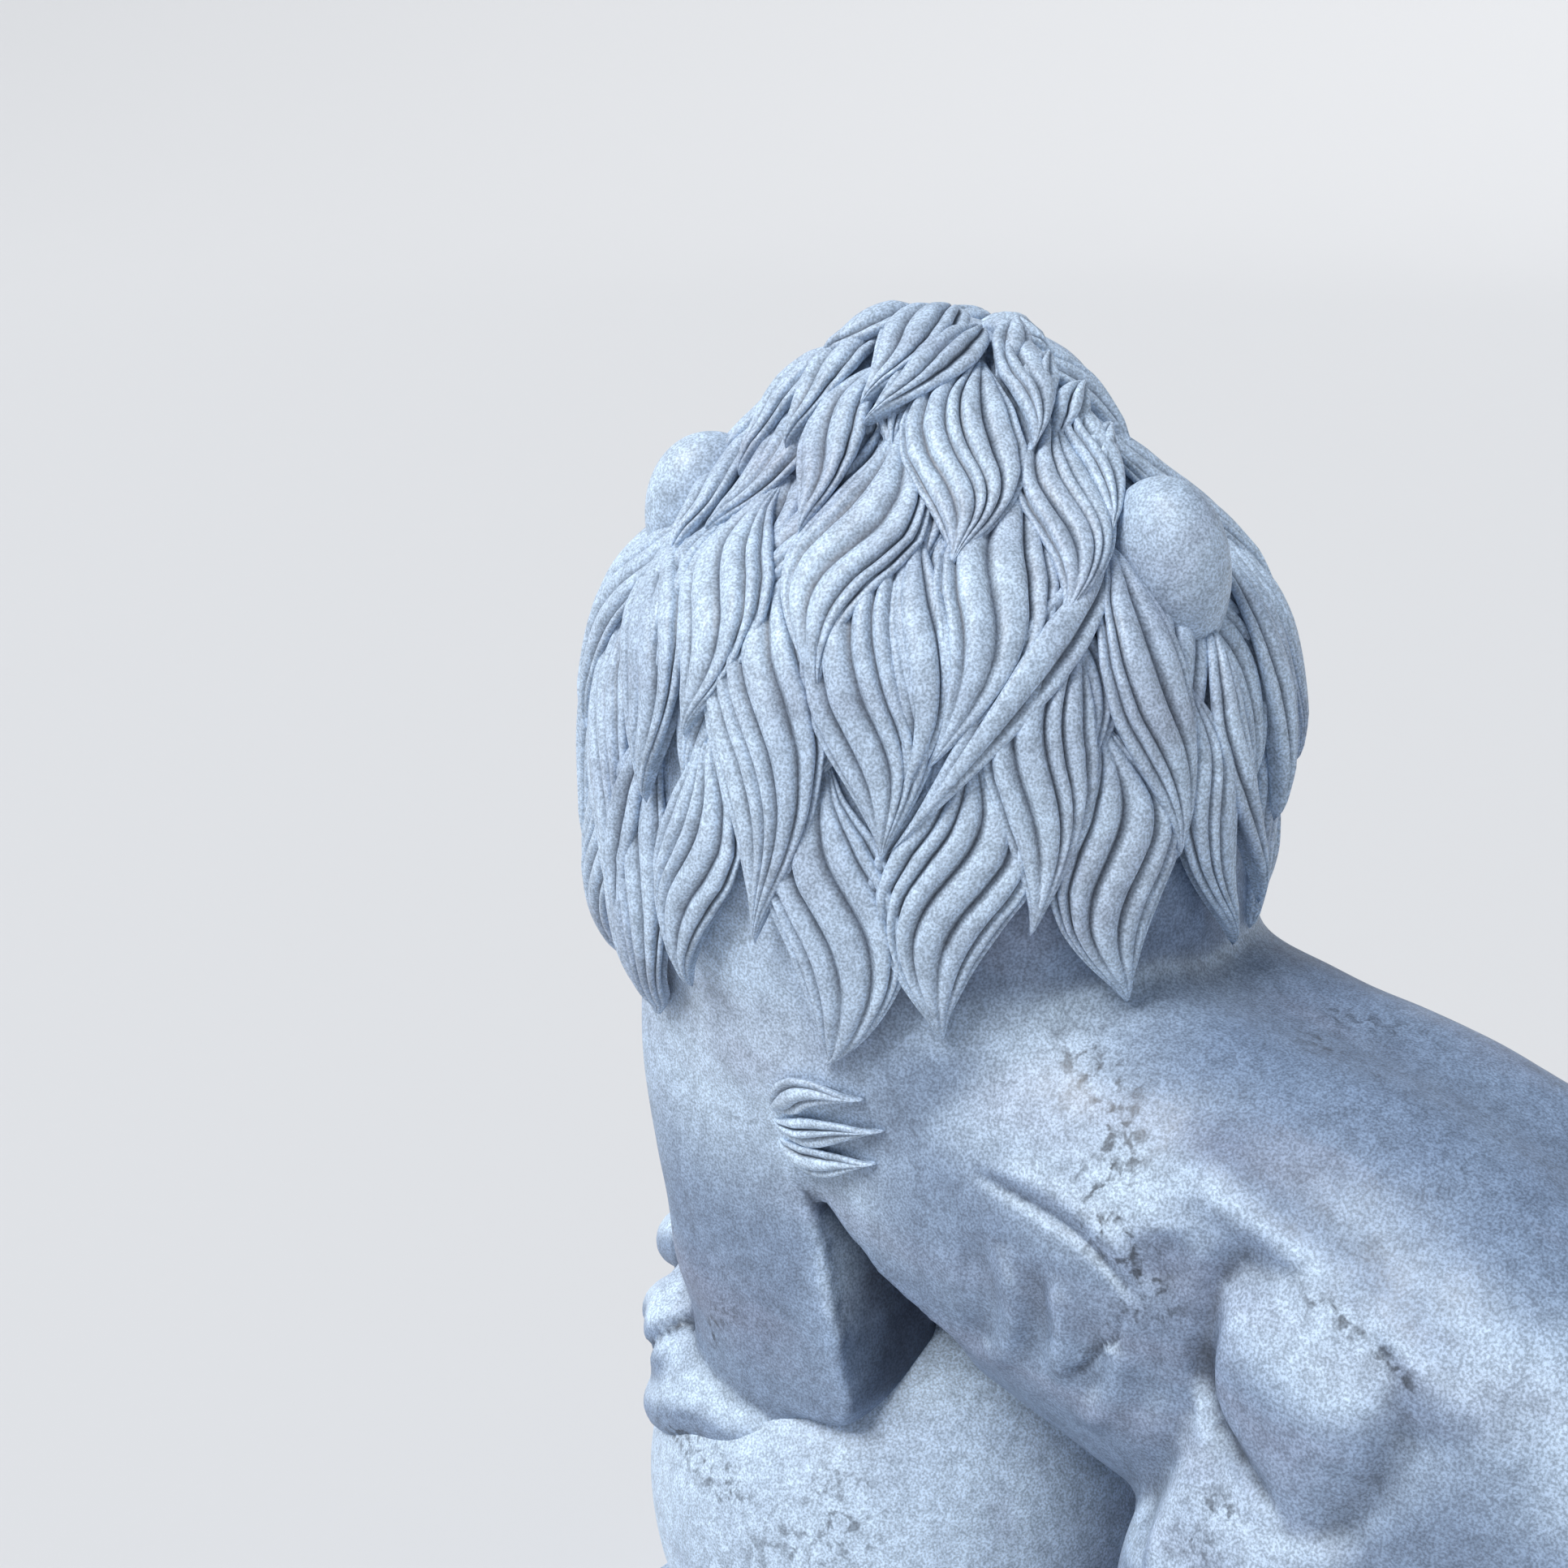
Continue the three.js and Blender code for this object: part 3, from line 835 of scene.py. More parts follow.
# The locks that face the camera: root, belly, tip, width and sway
SEEN_LOCKS = (
    ((145, 37), (138, 24), (139, 13), 32, 0.0),
    ((158, 38), (157, 23), (155, 10), 55, -1.0),
    ((164, 57), (170, 38), (169, 17), 65, 1.0),
    ((179, 36), (183, 21), (180, 3), 72, 1.0),
    ((202, 40), (199, 25), (199, 9), 77, -1.0),
    ((222, 50), (212, 36), (211, 20), 57, 1.0),
    ((223, 40), (224, 26), (228, 12), 71, -1.0),
    ((239, 44), (241, 31), (251, 15), 44, -1.0),
    ((146, 68), (157, 50), (155, 36), 60, 1.0),
    ((118, 63), (146, 45), (146, 28), 43, 1.0),
    ((186, 78), (179, 58), (179, 42), 62, -1.0),
    ((194, 65), (195, 46), (191, 32), 32, 1.0),
    ((191, 66), (187, 42), (189, 27), 68, 1.0),
    ((240, 61), (212, 46), (190, 28), 33, 0.0),
    ((225, 72), (207, 53), (195, 36), 62, 1.0),
    ((240, 62), (231, 41), (235, 26), 50, 1.0),
    ((252, 50), (247, 35), (259, 18), 25, 1.0),
    ((280, 56), (265, 43), (263, 26), 38, 1.0),
    ((243, 78), (230, 64), (218, 50), 54, 1.0),
    ((259, 80), (249, 71), (235, 59), 34, 1.0),
    ((220, 87), (205, 71), (200, 57), 66, 1.0),
    ((107, 78), (124, 64), (136, 53), 40, 1.0),
    ((169, 86), (164, 72), (167, 60), 38, 1.0),
    ((153, 92), (146, 81), (147, 71), 34, 1.0),
    ((261, 91), (234, 81), (226, 72), 34, 1.0),
    ((238, 93), (195, 84), (173, 75), 36, 0.6),
    ((217, 99), (182, 88), (170, 77), 44, 0.6),
    ((132, 88), (126, 78), (133, 66), 34, 0.6),
    ((118, 82), (111, 71), (117, 57), 34, 0.6),
    ((168, 97), (148, 90), (134, 82), 30, 0.6),
    ((224, 82), (238, 87), (251, 90), 24, 0.4),
    ((227, 76), (240, 81), (252, 84), 24, 0.4),
    ((237, 73), (249, 77), (260, 79), 24, 0.4),
    ((240, 67), (251, 71), (261, 74), 22, 0.4),
)


SEEN_SIDE = (140, 264)  # degrees round between which those locks cover the mane
NAPE_ANGLE = 180 - HEAD_TURN  # degrees round to where the back runs up under the mane
NAPE_REACH = 40  # degrees either side of it
HEM_TOP = 25  # percent of the way up below which they lie on the bare neck
CREST = 75  # percent of the way up above which they need none under them
COLLAR_TOP = 16  # percent of the way up where the smooth neck ends and the hair begins


GROUND_HEM = 0.9  # share of the ground, from its top, that hangs open; the rest closes it below
GROUND_EDGE = (0.6, 0.9)  # shares of the face's opening between which the hair rises
GROUND_FRINGE = (0.62, 0.76)  # shares of the way up between which it covers the brow
GROUND_SINK = 9  # how far it lies under the locks
GROUND_CORDS = 90  # round the mane
CORD_HEIGHTS = (2.5, 1.0)  # on the sides that the rows cover, and on the side seen
COLLAR_SINK = 16  # how far the ground draws in over the smooth neck
COLLAR_FADE = 10  # percent over which it does


def mane_ground():
    """The hair under the locks, closed below."""
    mesh = sphere(360, 84)
    t, angle = polar(points_of(mesh))
    turn = np.degrees(angle) % 360
    share = np.clip(1 - t / GROUND_HEM, 0, 1)
    off_nose = np.abs((turn + 180) % 360 - 180)
    hair = smoothstep(off_nose, *(FACE_OPENING * edge for edge in GROUND_EDGE))
    cords = np.abs(np.sin(np.radians(turn * GROUND_CORDS / 2)))
    hair = np.maximum(hair, smoothstep(share, *GROUND_FRINGE))
    first, last = SEEN_SIDE
    seen = smoothstep(turn, first - 10, first) * (1 - smoothstep(turn, last, last + 10))
    cord_height = CORD_HEIGHTS[0] + (CORD_HEIGHTS[1] - CORD_HEIGHTS[0]) * seen
    lift = -FACE_SET_BACK + hair * (FACE_SET_BACK - GROUND_SINK)
    lift += cord_height * (cords - 1) * hair * (share < 0.9)
    lift -= COLLAR_SINK * (1 - smoothstep(share / PERCENT, COLLAR_TOP - COLLAR_FADE, COLLAR_TOP))
    places = on_mane(turn, share / PERCENT, lift)
    closing = np.clip((1 - t) / (1 - GROUND_HEM), 0, 1)[:, None]
    places[:, :2] *= np.where(t[:, None] > GROUND_HEM, closing, 1)
    set_points(mesh, places)
    return faced_out(mesh)


# Rows of locks from the hem to the crown: height of the tips, length, locks in the row, width
MANE_ROWS = (
    (0, 36, 18, 74),
    (14, 36, 18, 74),
    (29, 36, 18, 72),
    (44, 34, 16, 68),
    (57, 30, 13, 60),
    (70, 24, 11, 48),
    (83, 14, 8, 32),
)


ROW_LIFTS = (-9, 2, 8)  # how far a lock's root, belly and tip stand off the ground
ROW_SUNK = 15  # how far locks sink on the side seen and over the back
ROW_SUNK_HIGH = 10  # above half way up
ROW_SUNK_LOW = 3
DRIFT = 7  # degrees that a lock may lean either way


def is_covered(angle, tip):
    """Whether a lock there would hide the face, an ear, the back or the locks read off."""
    off_nose = abs((angle + 180) % 360 - 180)
    at_face = off_nose < FACE_OPENING and 12 < tip < 62
    at_ear = abs(off_nose - EAR_ANGLE) < 24 and 40 < tip < 62
    at_nape = abs(angle - NAPE_ANGLE) < NAPE_REACH and tip < 10
    is_seen = SEEN_SIDE[0] < angle < SEEN_SIDE[1]
    return at_face or at_ear or at_nape or (is_seen and not HEM_TOP < tip < CREST)


def row_sink(angle, tip):
    """How far a row's lock sinks into the hair under it."""
    is_seen = SEEN_SIDE[0] < angle < SEEN_SIDE[1]
    if is_seen or (abs(angle - NAPE_ANGLE) < NAPE_REACH and tip < HEM_TOP):
        return ROW_SUNK
    return ROW_SUNK_HIGH if tip > 50 else ROW_SUNK_LOW


def mane_rows():
    """Locks for the sides that the locks read off leave free."""
    locks = []
    for row, (tip, length, count, width) in enumerate(MANE_ROWS):
        for k in range(count):
            seed = SEED + 100 * row + k
            rng = np.random.default_rng(seed)
            angle = (k + 0.5 * (row % 2)) * 360 / count
            drift = rng.uniform(-DRIFT, DRIFT)
            if is_covered(angle, tip):
                continue
            root = min(tip + length, 98)
            low_tip = tip + rng.uniform(-1, 2)
            belly = (angle, (root + low_tip) / 2)
            path = ((angle + drift, root), belly, (angle - drift, low_tip))
            sway = 1 if (k + row) % 2 else -1
            size = width * rng.uniform(0.9, 1.1)
            lifts = [lift - row_sink(angle, tip) for lift in ROW_LIFTS]
            locks.append(mane_lock(*path, size, sway, seed, lifts=lifts))
    return locks


def seen_locks():
    """The locks read off the photograph."""
    return [
        mane_lock(root, belly, tip, LOCK_FULLNESS * width, sway, SEED + 900 + k, lifts=SEEN_LIFTS)
        for k, (root, belly, tip, width, sway) in enumerate(SEEN_LOCKS)
    ]


# Three pointed locks that sweep back from each elbow, measured rearwards and upwards from its middle
ELBOW = (-195, 518)
OUTSIDE = 320  # sideways from the middle, well clear of the body
ELBOW_LOCKS = (
    ((-38, 4), (-10, 25), (34, 31), 25, 0.6),
    ((-38, -4), (-2, 0), (44, 12), 23, 0.6),
    ((-36, -16), (-2, -22), (38, -11), 23, 0.6),
)


def elbow_tufts(tree):
    """Laid on the body's own skin, on the left side and then on the right."""
    tufts = []
    for side in (1, -1):

        def on_flank(back, up, lift):
            places = []
            for b, u, raised in zip(back, up, lift):
                start = Vector((side * OUTSIDE, ELBOW[0] + b, ELBOW[1] + u))
                hit, _, _, _ = tree.ray_cast(start, Vector((-side, 0, 0)))
                places.append((hit.x + side * raised, hit.y, hit.z))
            return np.array(places)

        def even(back, up):
            return np.ones_like(back), np.ones_like(up)

        for k, (root, belly, tip, width, sway) in enumerate(ELBOW_LOCKS):
            how = {"thick": 11, "sway": sway, "lifts": (-3, 0, 1), "seed": SEED + 500 + k}
            tufts.append(lock(on_flank, even, (root, belly, tip), width, **how))
    return tufts


# Face and ears, facing -Y about the neck's axis before they are turned

EARS = ((126, 44, 846), (-148, 46, 838))
EAR_RADII = (46, 34, 62)
EAR_LEAN = (-10, 18, 34)  # degrees about X, Y and Z, the last two outwards


def ears():
    shells = []
    for at in EARS:
        tilt, *outwards = EAR_LEAN
        turn = (tilt, *(math.copysign(degrees, at[0]) for degrees in outwards))
        shells.append(ellipsoid(at, EAR_RADII, turn, 40, 28))
    return shells


def muzzle_and_brow():
    """Skull, muzzle, nose, chin, cheeks, brows and eyes."""
    skull = ellipsoid((0, -78, 800), (116, 122, 118))
    muzzle = limb(
        (
            (0, -120, 738, 86, 80, 0),
            (0, -180, 730, 68, 64, 0),
            (0, -236, 722, 50, 46, 0),
            (0, -262, 720, 40, 34, 0),
        )
    )
    bridge = limb(
        (
            (0, -120, 842, 46, 34, 20),
            (0, -176, 806, 36, 32, 25),
            (0, -238, 768, 29, 28, 25),
            (0, -272, 744, 25, 20, 25),
        ),
        power=(3, 3),
    )
    nose = ellipsoid((0, -268, 746), (30, 18, 16), (-20, 0, 0))
    chin = ellipsoid((0, -226, 674), (38, 42, 26))
    sides = [
        ellipsoid((40, -166, 832), (44, 34, 22), (-20, 14, 10)),
        ellipsoid((66, -124, 748), (54, 72, 66)),
        ellipsoid((27, -240, 714), (34, 42, 30)),
        ellipsoid(EYE, (21, 20, 15), (0, 0, 24)),
    ]
    return [skull, muzzle, bridge, nose, chin, *both_sides(sides)]


EYE = (50, -176, 796)
# Carving of the face's left half: width, height and path
FACE_STROKES = (
    (4.5, 5, ((24, -206, 786), (38, -204, 806), (58, -190, 810), (78, -164, 796))),
    (4, 4, ((24, -206, 786), (42, -204, 778), (60, -190, 778), (78, -164, 794))),
    (2.4, -3.5, ((28, -208, 791), (42, -206, 800), (58, -193, 802), (72, -172, 796))),
    (7, -5, ((20, -200, 772), (36, -196, 756), (60, -176, 752), (84, -146, 766))),
    (3.4, -6.5, ((0, -286, 700), (24, -278, 690), (48, -252, 692), (66, -216, 702), (80, -180, 718))),
    (3, -5, ((0, -290, 738), (0, -288, 720), (0, -284, 700))),
    (3, -4, ((8, -286, 738), (20, -280, 730), (34, -264, 742), (30, -254, 760))),
    (4, -3.5, ((40, -240, 756), (58, -206, 742), (70, -170, 722))),
    (6, 3, ((26, -214, 800), (16, -214, 824), (14, -190, 850))),
    (5, -1.5, ((0, -196, 838), (0, -176, 862), (0, -150, 884))),
)
# Pits in the left half: the place, how wide and how deep
NOSTRIL = ((14, -284, 742), 8, 9)
PUPIL = ((53, -198, 795), 5, 4)
WHISKER_WIDTH = 4
WHISKER_DEPTH = 2
WHISKER_ROWS = ((722, 4), (712, 4), (703, 3))  # height, and how many
EAR_HOLLOW = (34, 34, 46)  # radii
EAR_HOLLOW_DEPTH = 26
EAR_MOUTH = (0, -34, -4)  # from an ear's middle to the middle of its hollow


def head():
    """Face and ears in one skin."""
    skin = Skin(carved_from([*muzzle_and_brow(), *ears()], "head", HEAD_VOXEL))
    skin.smooth(8)
    for side in (1, -1):
        mirror = np.array((side, 1, 1))
        for width, height, path in FACE_STROKES:
            skin.stroke(skin.on_skin(np.array(path) * mirror), width, height)
        pits = [NOSTRIL, PUPIL]
        for z, dots in WHISKER_ROWS:
            row = [(34 + 8 * k, -270 + 12 * k, z) for k in range(dots)]
            pits += [(place, WHISKER_WIDTH, WHISKER_DEPTH) for place in row]
        for place, radius, depth in pits:
            middle = skin.on_skin((place * mirror, place * mirror), 3)[0]
            skin.swell(middle, radius, -depth)
    for at in EARS:
        skin.swell(np.array(at) + EAR_MOUTH, EAR_HOLLOW, -EAR_HOLLOW_DEPTH)
    skin.smooth(1, 0.5)
    skin.points = turned_head(skin.points)
    return skin.done()


# Marble

PALE = (0.58, 0.72, 0.89)
CLOUD = (0.44, 0.55, 0.71)
DUSK = (0.28, 0.30, 0.41)  # of the streaks
GROOVE_DIRT_AND_SHADE = (0.20, 0.22, 0.26)  # what is left of the colour in grooves, for dirt and painted shade, and in the hollow under the elbow, for painted shade
GRIME_AND_SHADE = (0.37, 0.41, 0.49)  # what is left of it where the stone has weathered on the back, and where painted shade darkens the body's sideways and downward faces
HOLLOW_DIRT_AND_SHADE = "hollow"  # the attribute that says how deep a point lies in a groove, for dirt and painted shade there, or in the hollow under the elbow, for painted shade
HOLLOW_STEEPNESS = (0.05, 0.34)  # from where the dirt and painted shade in grooves begin to where they are full
RECESS_SHADE = 0.95  # painted shade in the hollow under the elbow
RECESS_SHADE_SPREAD = 5
BED = "bed"  # the attribute that says how near a point lies to a bed of dark specks
# Where dark specks lie in the stone: how wide, and along which path
SPECK_BEDS = (
    (22, ((111, -50, 590), (130, -14, 556), (149, -12, 526), (152, 6, 500), (146, 18, 482))),
    (8, ((144, 113, 513), (147, 143, 502), (148, 167, 487))),
    (6, ((153, -30, 420), (156, -8, 438), (156, 6, 466))),
    (16, ((150, 40, 300), (160, 60, 330), (164, 80, 380))),
    (30, ((130, -300, 130), (160, -250, 170), (150, -190, 250))),
    (16, ((150, -330, 250), (170, -260, 240))),
    (9, ((150, -300, 330), (156, -280, 360))),
    (12, ((20, 40, 590), (60, 150, 560))),
)


def mark(mesh, name, values):
    """Writes one number for each point, for the marble to read."""
    attribute = mesh.attributes.new(name, "FLOAT", "POINT")
    attribute.data.foreach_set("value", values.astype(np.float32))


def mark_hollows(mesh, is_body):
    """Writes how far each point lies below its neighbours, for the dirt and painted shade in grooves,
    and the painted shade in the hollow under the elbow.
    """
    skin = Skin(mesh)
    below = ((skin.neighbours(skin.points) - skin.points) * normals_of(mesh)).sum(axis=1)
    places = (skin.points - (0, 0, SLAB_THICKNESS)) / UNIT
    # painted shade in the dark hollow under the elbow, behind the foreleg
    recess_shade = RECESS_SHADE * is_body * under_elbow(places, RECESS_SHADE_SPREAD)
    lengths = np.linalg.norm(skin.points[skin.ends] - skin.points[skin.others], axis=1)
    spacing = np.bincount(skin.ends, lengths, len(skin.points)) / skin.count
    grooves = smoothstep(below / spacing, *HOLLOW_STEEPNESS)
    mark(mesh, HOLLOW_DIRT_AND_SHADE, np.maximum(grooves, recess_shade))


FOLD = "fold"  # the attribute that is above a half in a hollow of the form and below it on a ridge, for painted shade in the hollows and painted highlight on the ridges
FOLD_DEPTH = 2.2  # of the hollow that counts in full


def mark_folds(mesh, rounds):
    """Writes how far each point lies below its surroundings, which reach further with more rounds."""
    skin = Skin(mesh)
    start, normals = skin.points.copy(), normals_of(mesh)
    depth = ((skin.smooth(rounds).points - start) * normals).sum(axis=1) / UNIT
    for _ in range(2):
        depth = (depth + skin.neighbours(depth)) / 2
    mark(mesh, FOLD, 0.5 + 0.5 * np.clip(depth / FOLD_DEPTH, -1, 1))


# The attribute that is 1 where the back has weathered, open to the sky, and up to 0.9 for painted
# shade on the body's sideways and downward faces
WEATHER_AND_SHADE = "weather_and_shade"
# strength of the painted shade on the body's sideways and downward faces
SIDE_SHADE = 0.9


def mark_weather_and_shade(mesh, is_body):
    """Writes how weathered each point is, and how much painted shade its sideways or downward facing
    gets.
    """
    upwards = normals_of(mesh)[:, 2]
    _, y, z = ((points_of(mesh) - (0, 0, SLAB_THICKNESS)) / UNIT).T
    on_back = smoothstep(upwards, 0.3, 0.9) * smoothstep(y, -110, 20)
    off_shoulder = np.maximum(smoothstep(y, -230, -110), 1 - smoothstep(z, 420, 530))
    # painted shade: the body's faces that turn sideways or down are darker, except on the shoulder
    side_shade = is_body * SIDE_SHADE * off_shoulder * (1 - smoothstep(upwards, 0.0, 0.45))
    mark(mesh, WEATHER_AND_SHADE, np.maximum(on_back, side_shade))


def mark_beds(mesh):
    """Writes how near each point lies to a bed of specks, alike on both sides."""
    skin = Skin(mesh)
    nearness = np.zeros(len(skin.points))
    for width, path in SPECK_BEDS:
        for side in (1, -1):
            near, far, _ = skin.along_path(np.array(path) * (side, 1, 1), 2 * width)
            nearness[near] = np.maximum(nearness[near], np.exp(-((far / width) ** 2)))
    mark(mesh, BED, nearness)


def marble():
    """Clouded and streaked stone with a crystal grain, dark specks, dirt and painted shade in its
    grooves, painted shade under the elbow and on the body's sideways and downward faces, grime on the
    back, and painted shade and highlight on the form's hollows and ridges.
    """
    stone = bpy.data.materials.new("marble")
    stone.use_nodes = True
    nodes, links = stone.node_tree.nodes, stone.node_tree.links
    shader = nodes["Principled BSDF"]
    place = nodes.new("ShaderNodeTexCoord").outputs["Object"]

    def noise(scale, detail=4.0, distortion=0.0, squash=(1, 1, 1), turn=(0, 0, 0)):
        mapping = nodes.new("ShaderNodeMapping")
        mapping.inputs["Rotation"].default_value = [math.radians(degrees) for degrees in turn]
        mapping.inputs["Scale"].default_value = squash
        links.new(place, mapping.inputs["Vector"])
        texture = nodes.new("ShaderNodeTexNoise")
        texture.inputs["Scale"].default_value = scale
        texture.inputs["Detail"].default_value = detail
        texture.inputs["Distortion"].default_value = distortion
        links.new(mapping.outputs["Vector"], texture.inputs["Vector"])
        return texture.outputs["Fac"]

    def ramp(value, *stops):
        node = nodes.new("ShaderNodeValToRGB")
        marks = node.color_ramp.elements
        while len(marks) < len(stops):
            marks.new(0.5)
        for mark, (at, colour) in zip(marks, stops):
            mark.position = at
            mark.color = (*colour, 1) if isinstance(colour, tuple) else (colour, colour, colour, 1)
        links.new(value, node.inputs["Fac"])
        return node.outputs["Color"]

    def noted(name):
        attribute = nodes.new("ShaderNodeAttribute")
        attribute.attribute_name = name
        return attribute.outputs["Fac"]

    def mixed(kind, share, first, second):
        node = nodes.new("ShaderNodeMix")
        node.data_type = "RGBA"
        node.blend_type = kind
        for value, name in ((share, "Factor"), (first, "A"), (second, "B")):
            socket = node.inputs[name]
            if isinstance(value, bpy.types.NodeSocket):
                links.new(value, socket)
            else:
                socket.default_value = value
        return node.outputs["Result"]

    clouds = ramp(noise(7, 5, 0.8, (1, 1.5, 0.6)), (0.3, CLOUD), (0.66, PALE))
    streaks = ramp(noise(14, 4, 0.4, (1, 0.22, 1), (-25, 0, 0)), (0.5, 0.0), (0.7, 0.4))
    greyed = mixed("MULTIPLY", noted(WEATHER_AND_SHADE), clouds, (*GRIME_AND_SHADE, 1))
    streaked = mixed("MIX", streaks, greyed, (*DUSK, 1))
    mottles = ramp(noise(90, 7, 0.4), (0.32, 0.8), (0.64, 1.08))
    crystals = ramp(noise(620, 3), (0.38, 0.66), (0.62, 1.2))
    grained = mixed("MULTIPLY", 1.0, mixed("MULTIPLY", 1.0, streaked, mottles), crystals)
    specks = ramp(noise(120, 9, 0.5), (0.37, 0.24), (0.5, 1.0))
    speckled = mixed("MULTIPLY", noted(BED), grained, specks)
    # dirt and painted shade in the grooves, and painted shade in the hollow under the elbow
    dirt_and_shaded = mixed("MULTIPLY", noted(HOLLOW_DIRT_AND_SHADE), speckled, (*GROOVE_DIRT_AND_SHADE, 1))
    # painted shade in the hollows of the form, and painted highlight on its ridges
    fold_shade_and_highlight = ramp(noted(FOLD), (0.0, 1.1), (0.5, 0.92), (1.0, 0.5))
    links.new(mixed("MULTIPLY", 1.0, dirt_and_shaded, fold_shade_and_highlight), shader.inputs["Base Color"])
    shader.inputs["IOR"].default_value = 1.49
    links.new(ramp(noise(30, 3), (0.3, 0.42), (0.7, 0.6)), shader.inputs["Roughness"])
    bump = nodes.new("ShaderNodeBump")
    bump.inputs["Strength"].default_value = 0.35
    bump.inputs["Distance"].default_value = 0.0006
    links.new(noise(330, 3), bump.inputs["Height"])
    links.new(bump.outputs["Normal"], shader.inputs["Normal"])
    return stone


MARBLE = marble()


FOLD_ROUNDS = 2  # for hair and other narrow forms
BODY_FOLD_ROUNDS = 14


def shown(mesh, name, fold_rounds=FOLD_ROUNDS):
    """Puts a mesh that is laid out in shares into the scene, as a part of the statue."""
    set_points(mesh, points_of(mesh) * UNIT + (0, 0, SLAB_THICKNESS))
    return stone_piece(mesh, name, fold_rounds)


def stone_piece(mesh, name, fold_rounds):
    """A marble mesh in metres, as a piece that stands for a part of the statue."""
    mesh.name = name
    mesh.materials.clear()
    mesh.materials.append(MARBLE)
    mesh.shade_smooth()
    mark_hollows(mesh, name == "body")
    mark_folds(mesh, fold_rounds)
    mark_weather_and_shade(mesh, name == "body")
    piece = bpy.data.objects.new(name, mesh)
    bpy.context.scene.collection.objects.link(piece)
    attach(piece, "root")
    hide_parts("lion_statue")
    return piece


def slab():
    """The low slab, with round corners and eased edges."""
    bm = bmesh.new()
    bmesh.ops.create_cube(bm, size=1)
    bmesh.ops.scale(bm, vec=(SLAB_WIDTH, SLAB_LENGTH, SLAB_THICKNESS), verts=bm.verts)
    bmesh.ops.translate(bm, vec=(0, 0, SLAB_THICKNESS / 2), verts=bm.verts)
    upright = [e for e in bm.edges if abs(e.verts[0].co.z - e.verts[1].co.z) > SLAB_THICKNESS / 2]
    bevel = {"affect": "EDGES", "profile": 0.5, "material": -1}
    bmesh.ops.bevel(bm, geom=upright, offset=SLAB_CORNER_RADIUS, segments=8, **bevel)
    rims = [e for e in bm.edges if e.verts[0].co.z == e.verts[1].co.z]
    bmesh.ops.bevel(bm, geom=rims, offset=SLAB_EDGE_BEVEL, segments=3, **bevel)
    mesh = bpy.data.meshes.new("slab")
    bm.to_mesh(mesh)
    bm.free()
    piece = stone_piece(mesh, "slab", 0)
    for face in mesh.polygons:
        face.use_smooth = False
    return piece


LOCKS_A_PIECE = 45


def in_groups(locks, name, size):
    """Joins the locks, as many to a piece as the size says."""
    for k in range(0, len(locks), size):
        group = joined(locks[k : k + size], name)
        set_points(group, turned_head(points_of(group)))
        shown(group, f"{name}_{k // size + 1}")


# The stage

FLOOR_REACH = 30  # metres from the middle to the rim
FLOOR_CELLS = 60  # along each side
FLOOR_FLAT = 0.4  # share of the reach that is level
FLOOR_COLOUR = (0.62, 0.62, 0.63)
FLOOR_ROUGHNESS = 0.8
BACKDROP_HEIGHT = 10
SKY_COLOUR = (0.80, 0.89, 1.0)
SKY_STRENGTH = 0.38
# Name, azimuth and elevation in degrees, strength, spread in degrees, and tint
SUNS = (
    ("key", -16, 52, 3.1, 28, (1.0, 0.99, 0.97)),
    ("fill", -100, 40, 0.4, 60, (0.9, 0.94, 1.0)),
)


def floor():
    """A wide pale floor that curves up into a backdrop far behind."""
    bm = bmesh.new()
    bmesh.ops.create_grid(bm, x_segments=FLOOR_CELLS, y_segments=FLOOR_CELLS, size=FLOOR_REACH)
    for vertex in bm.verts:
        far = math.hypot(vertex.co.x, vertex.co.y) / FLOOR_REACH
        vertex.co.z = BACKDROP_HEIGHT * float(smoothstep(far, FLOOR_FLAT, 1))
    mesh = bpy.data.meshes.new("floor")
    bm.to_mesh(mesh)
    bm.free()
    mesh.shade_smooth()
    pale = bpy.data.materials.new("floor")
    pale.use_nodes = True
    shader = pale.node_tree.nodes["Principled BSDF"]
    shader.inputs["Base Color"].default_value = (*FLOOR_COLOUR, 1)
    shader.inputs["Roughness"].default_value = FLOOR_ROUGHNESS
    mesh.materials.append(pale)
    ground = bpy.data.objects.new("floor", mesh)
    bpy.context.scene.collection.objects.link(ground)


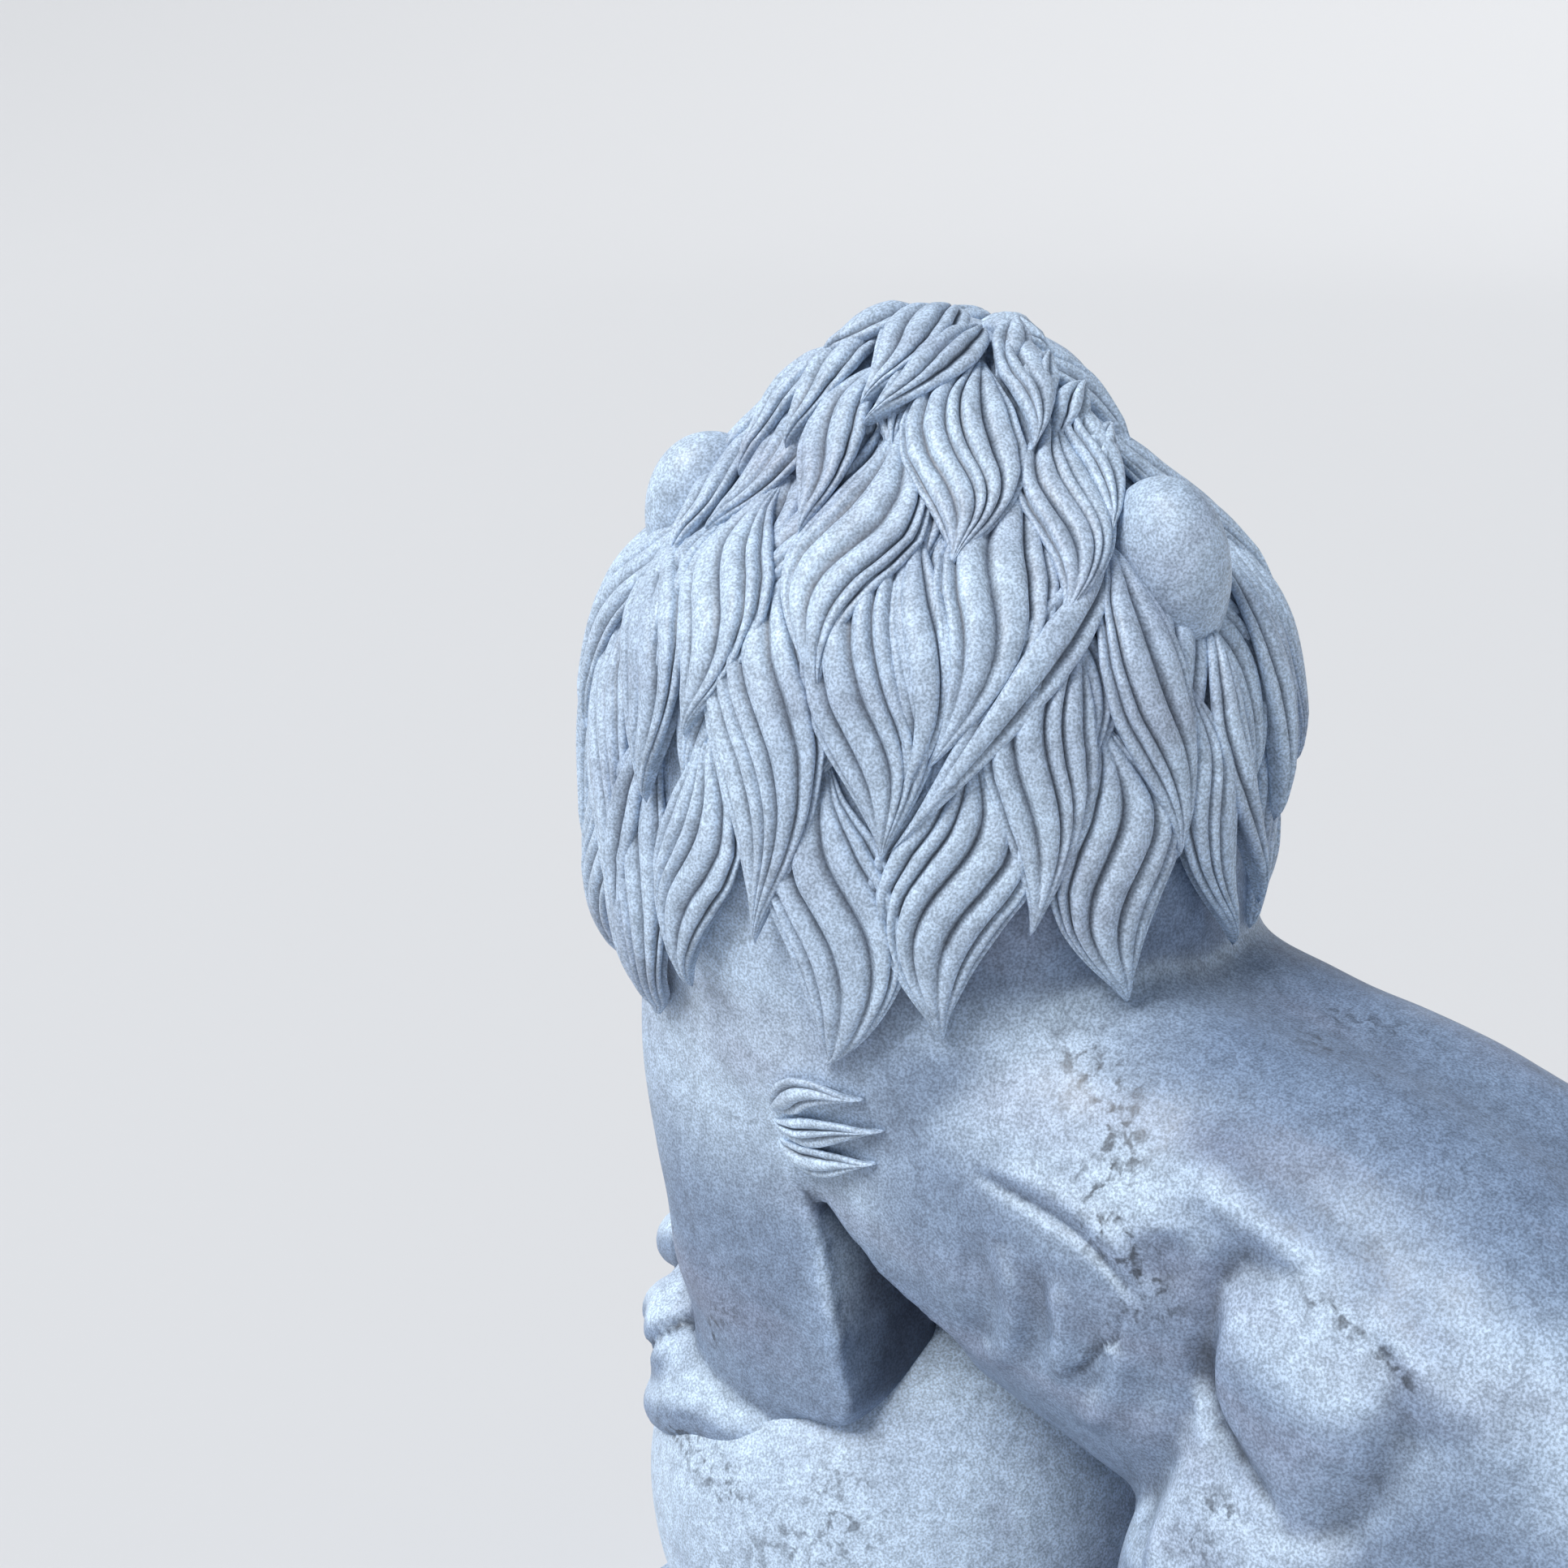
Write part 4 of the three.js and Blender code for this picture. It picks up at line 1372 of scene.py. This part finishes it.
def sun(name, azimuth, elevation, strength, spread, tint):
    """A soft far light; the azimuth is in degrees from +X towards +Y."""
    lamp = bpy.data.lights.new(name, "SUN")
    lamp.energy = strength
    lamp.angle = math.radians(spread)
    lamp.color = tint
    holder = bpy.data.objects.new(name, lamp)
    a, e = math.radians(azimuth), math.radians(elevation)
    source = Vector((math.cos(a) * math.cos(e), math.sin(a) * math.cos(e), math.sin(e)))
    holder.rotation_euler = source.to_track_quat("Z", "Y").to_euler()
    bpy.context.scene.collection.objects.link(holder)


def camera():
    """Where the photograph was taken from, behind the lion's left shoulder."""
    data = bpy.data.cameras.new("camera")
    data.sensor_width = SENSOR
    data.sensor_fit = "HORIZONTAL"
    data.lens = SENSOR * FOCAL_PIXELS / IMAGE_SIZE
    eye = bpy.data.objects.new("camera", data)
    eye.location = CAMERA_PLACE
    azimuth, elevation = math.radians(CAMERA_AZIMUTH), math.radians(CAMERA_ELEVATION)
    level = Vector((math.cos(azimuth), math.sin(azimuth), 0)) * math.cos(elevation)
    looking = -level - Vector((0, 0, math.sin(elevation)))
    eye.rotation_euler = looking.to_track_quat("-Z", "Y").to_euler()
    bpy.context.scene.collection.objects.link(eye)
    bpy.context.scene.camera = eye


def sky():
    """Soft light from all round."""
    world = bpy.data.worlds.new("studio")
    world.use_nodes = True
    glow = world.node_tree.nodes["Background"]
    glow.inputs["Color"].default_value = (*SKY_COLOUR, 1)
    glow.inputs["Strength"].default_value = SKY_STRENGTH
    bpy.context.scene.world = world


slab()
round_ball = ball()
mark_beds(round_ball)
shown(round_ball, "ball")
carved_body = body()
mark_beds(carved_body)
body_tree = tree_of(carved_body)
PROUD = body_over_mane(body_tree)
tufts = joined(elbow_tufts(body_tree), "elbow_tufts")
shown(carved_body, "body", BODY_FOLD_ROUNDS)
shown(tufts, "elbow_tufts")
shown(head(), "head")
ground = mane_ground()
set_points(ground, turned_head(points_of(ground)))
shown(ground, "mane_ground")
in_groups(mane_rows(), "mane_rows", LOCKS_A_PIECE)
in_groups(seen_locks(), "mane_locks", LOCKS_A_PIECE)

floor()
sky()
for light in SUNS:
    sun(*light)
camera()
bpy.context.scene.view_settings.view_transform = "Standard"
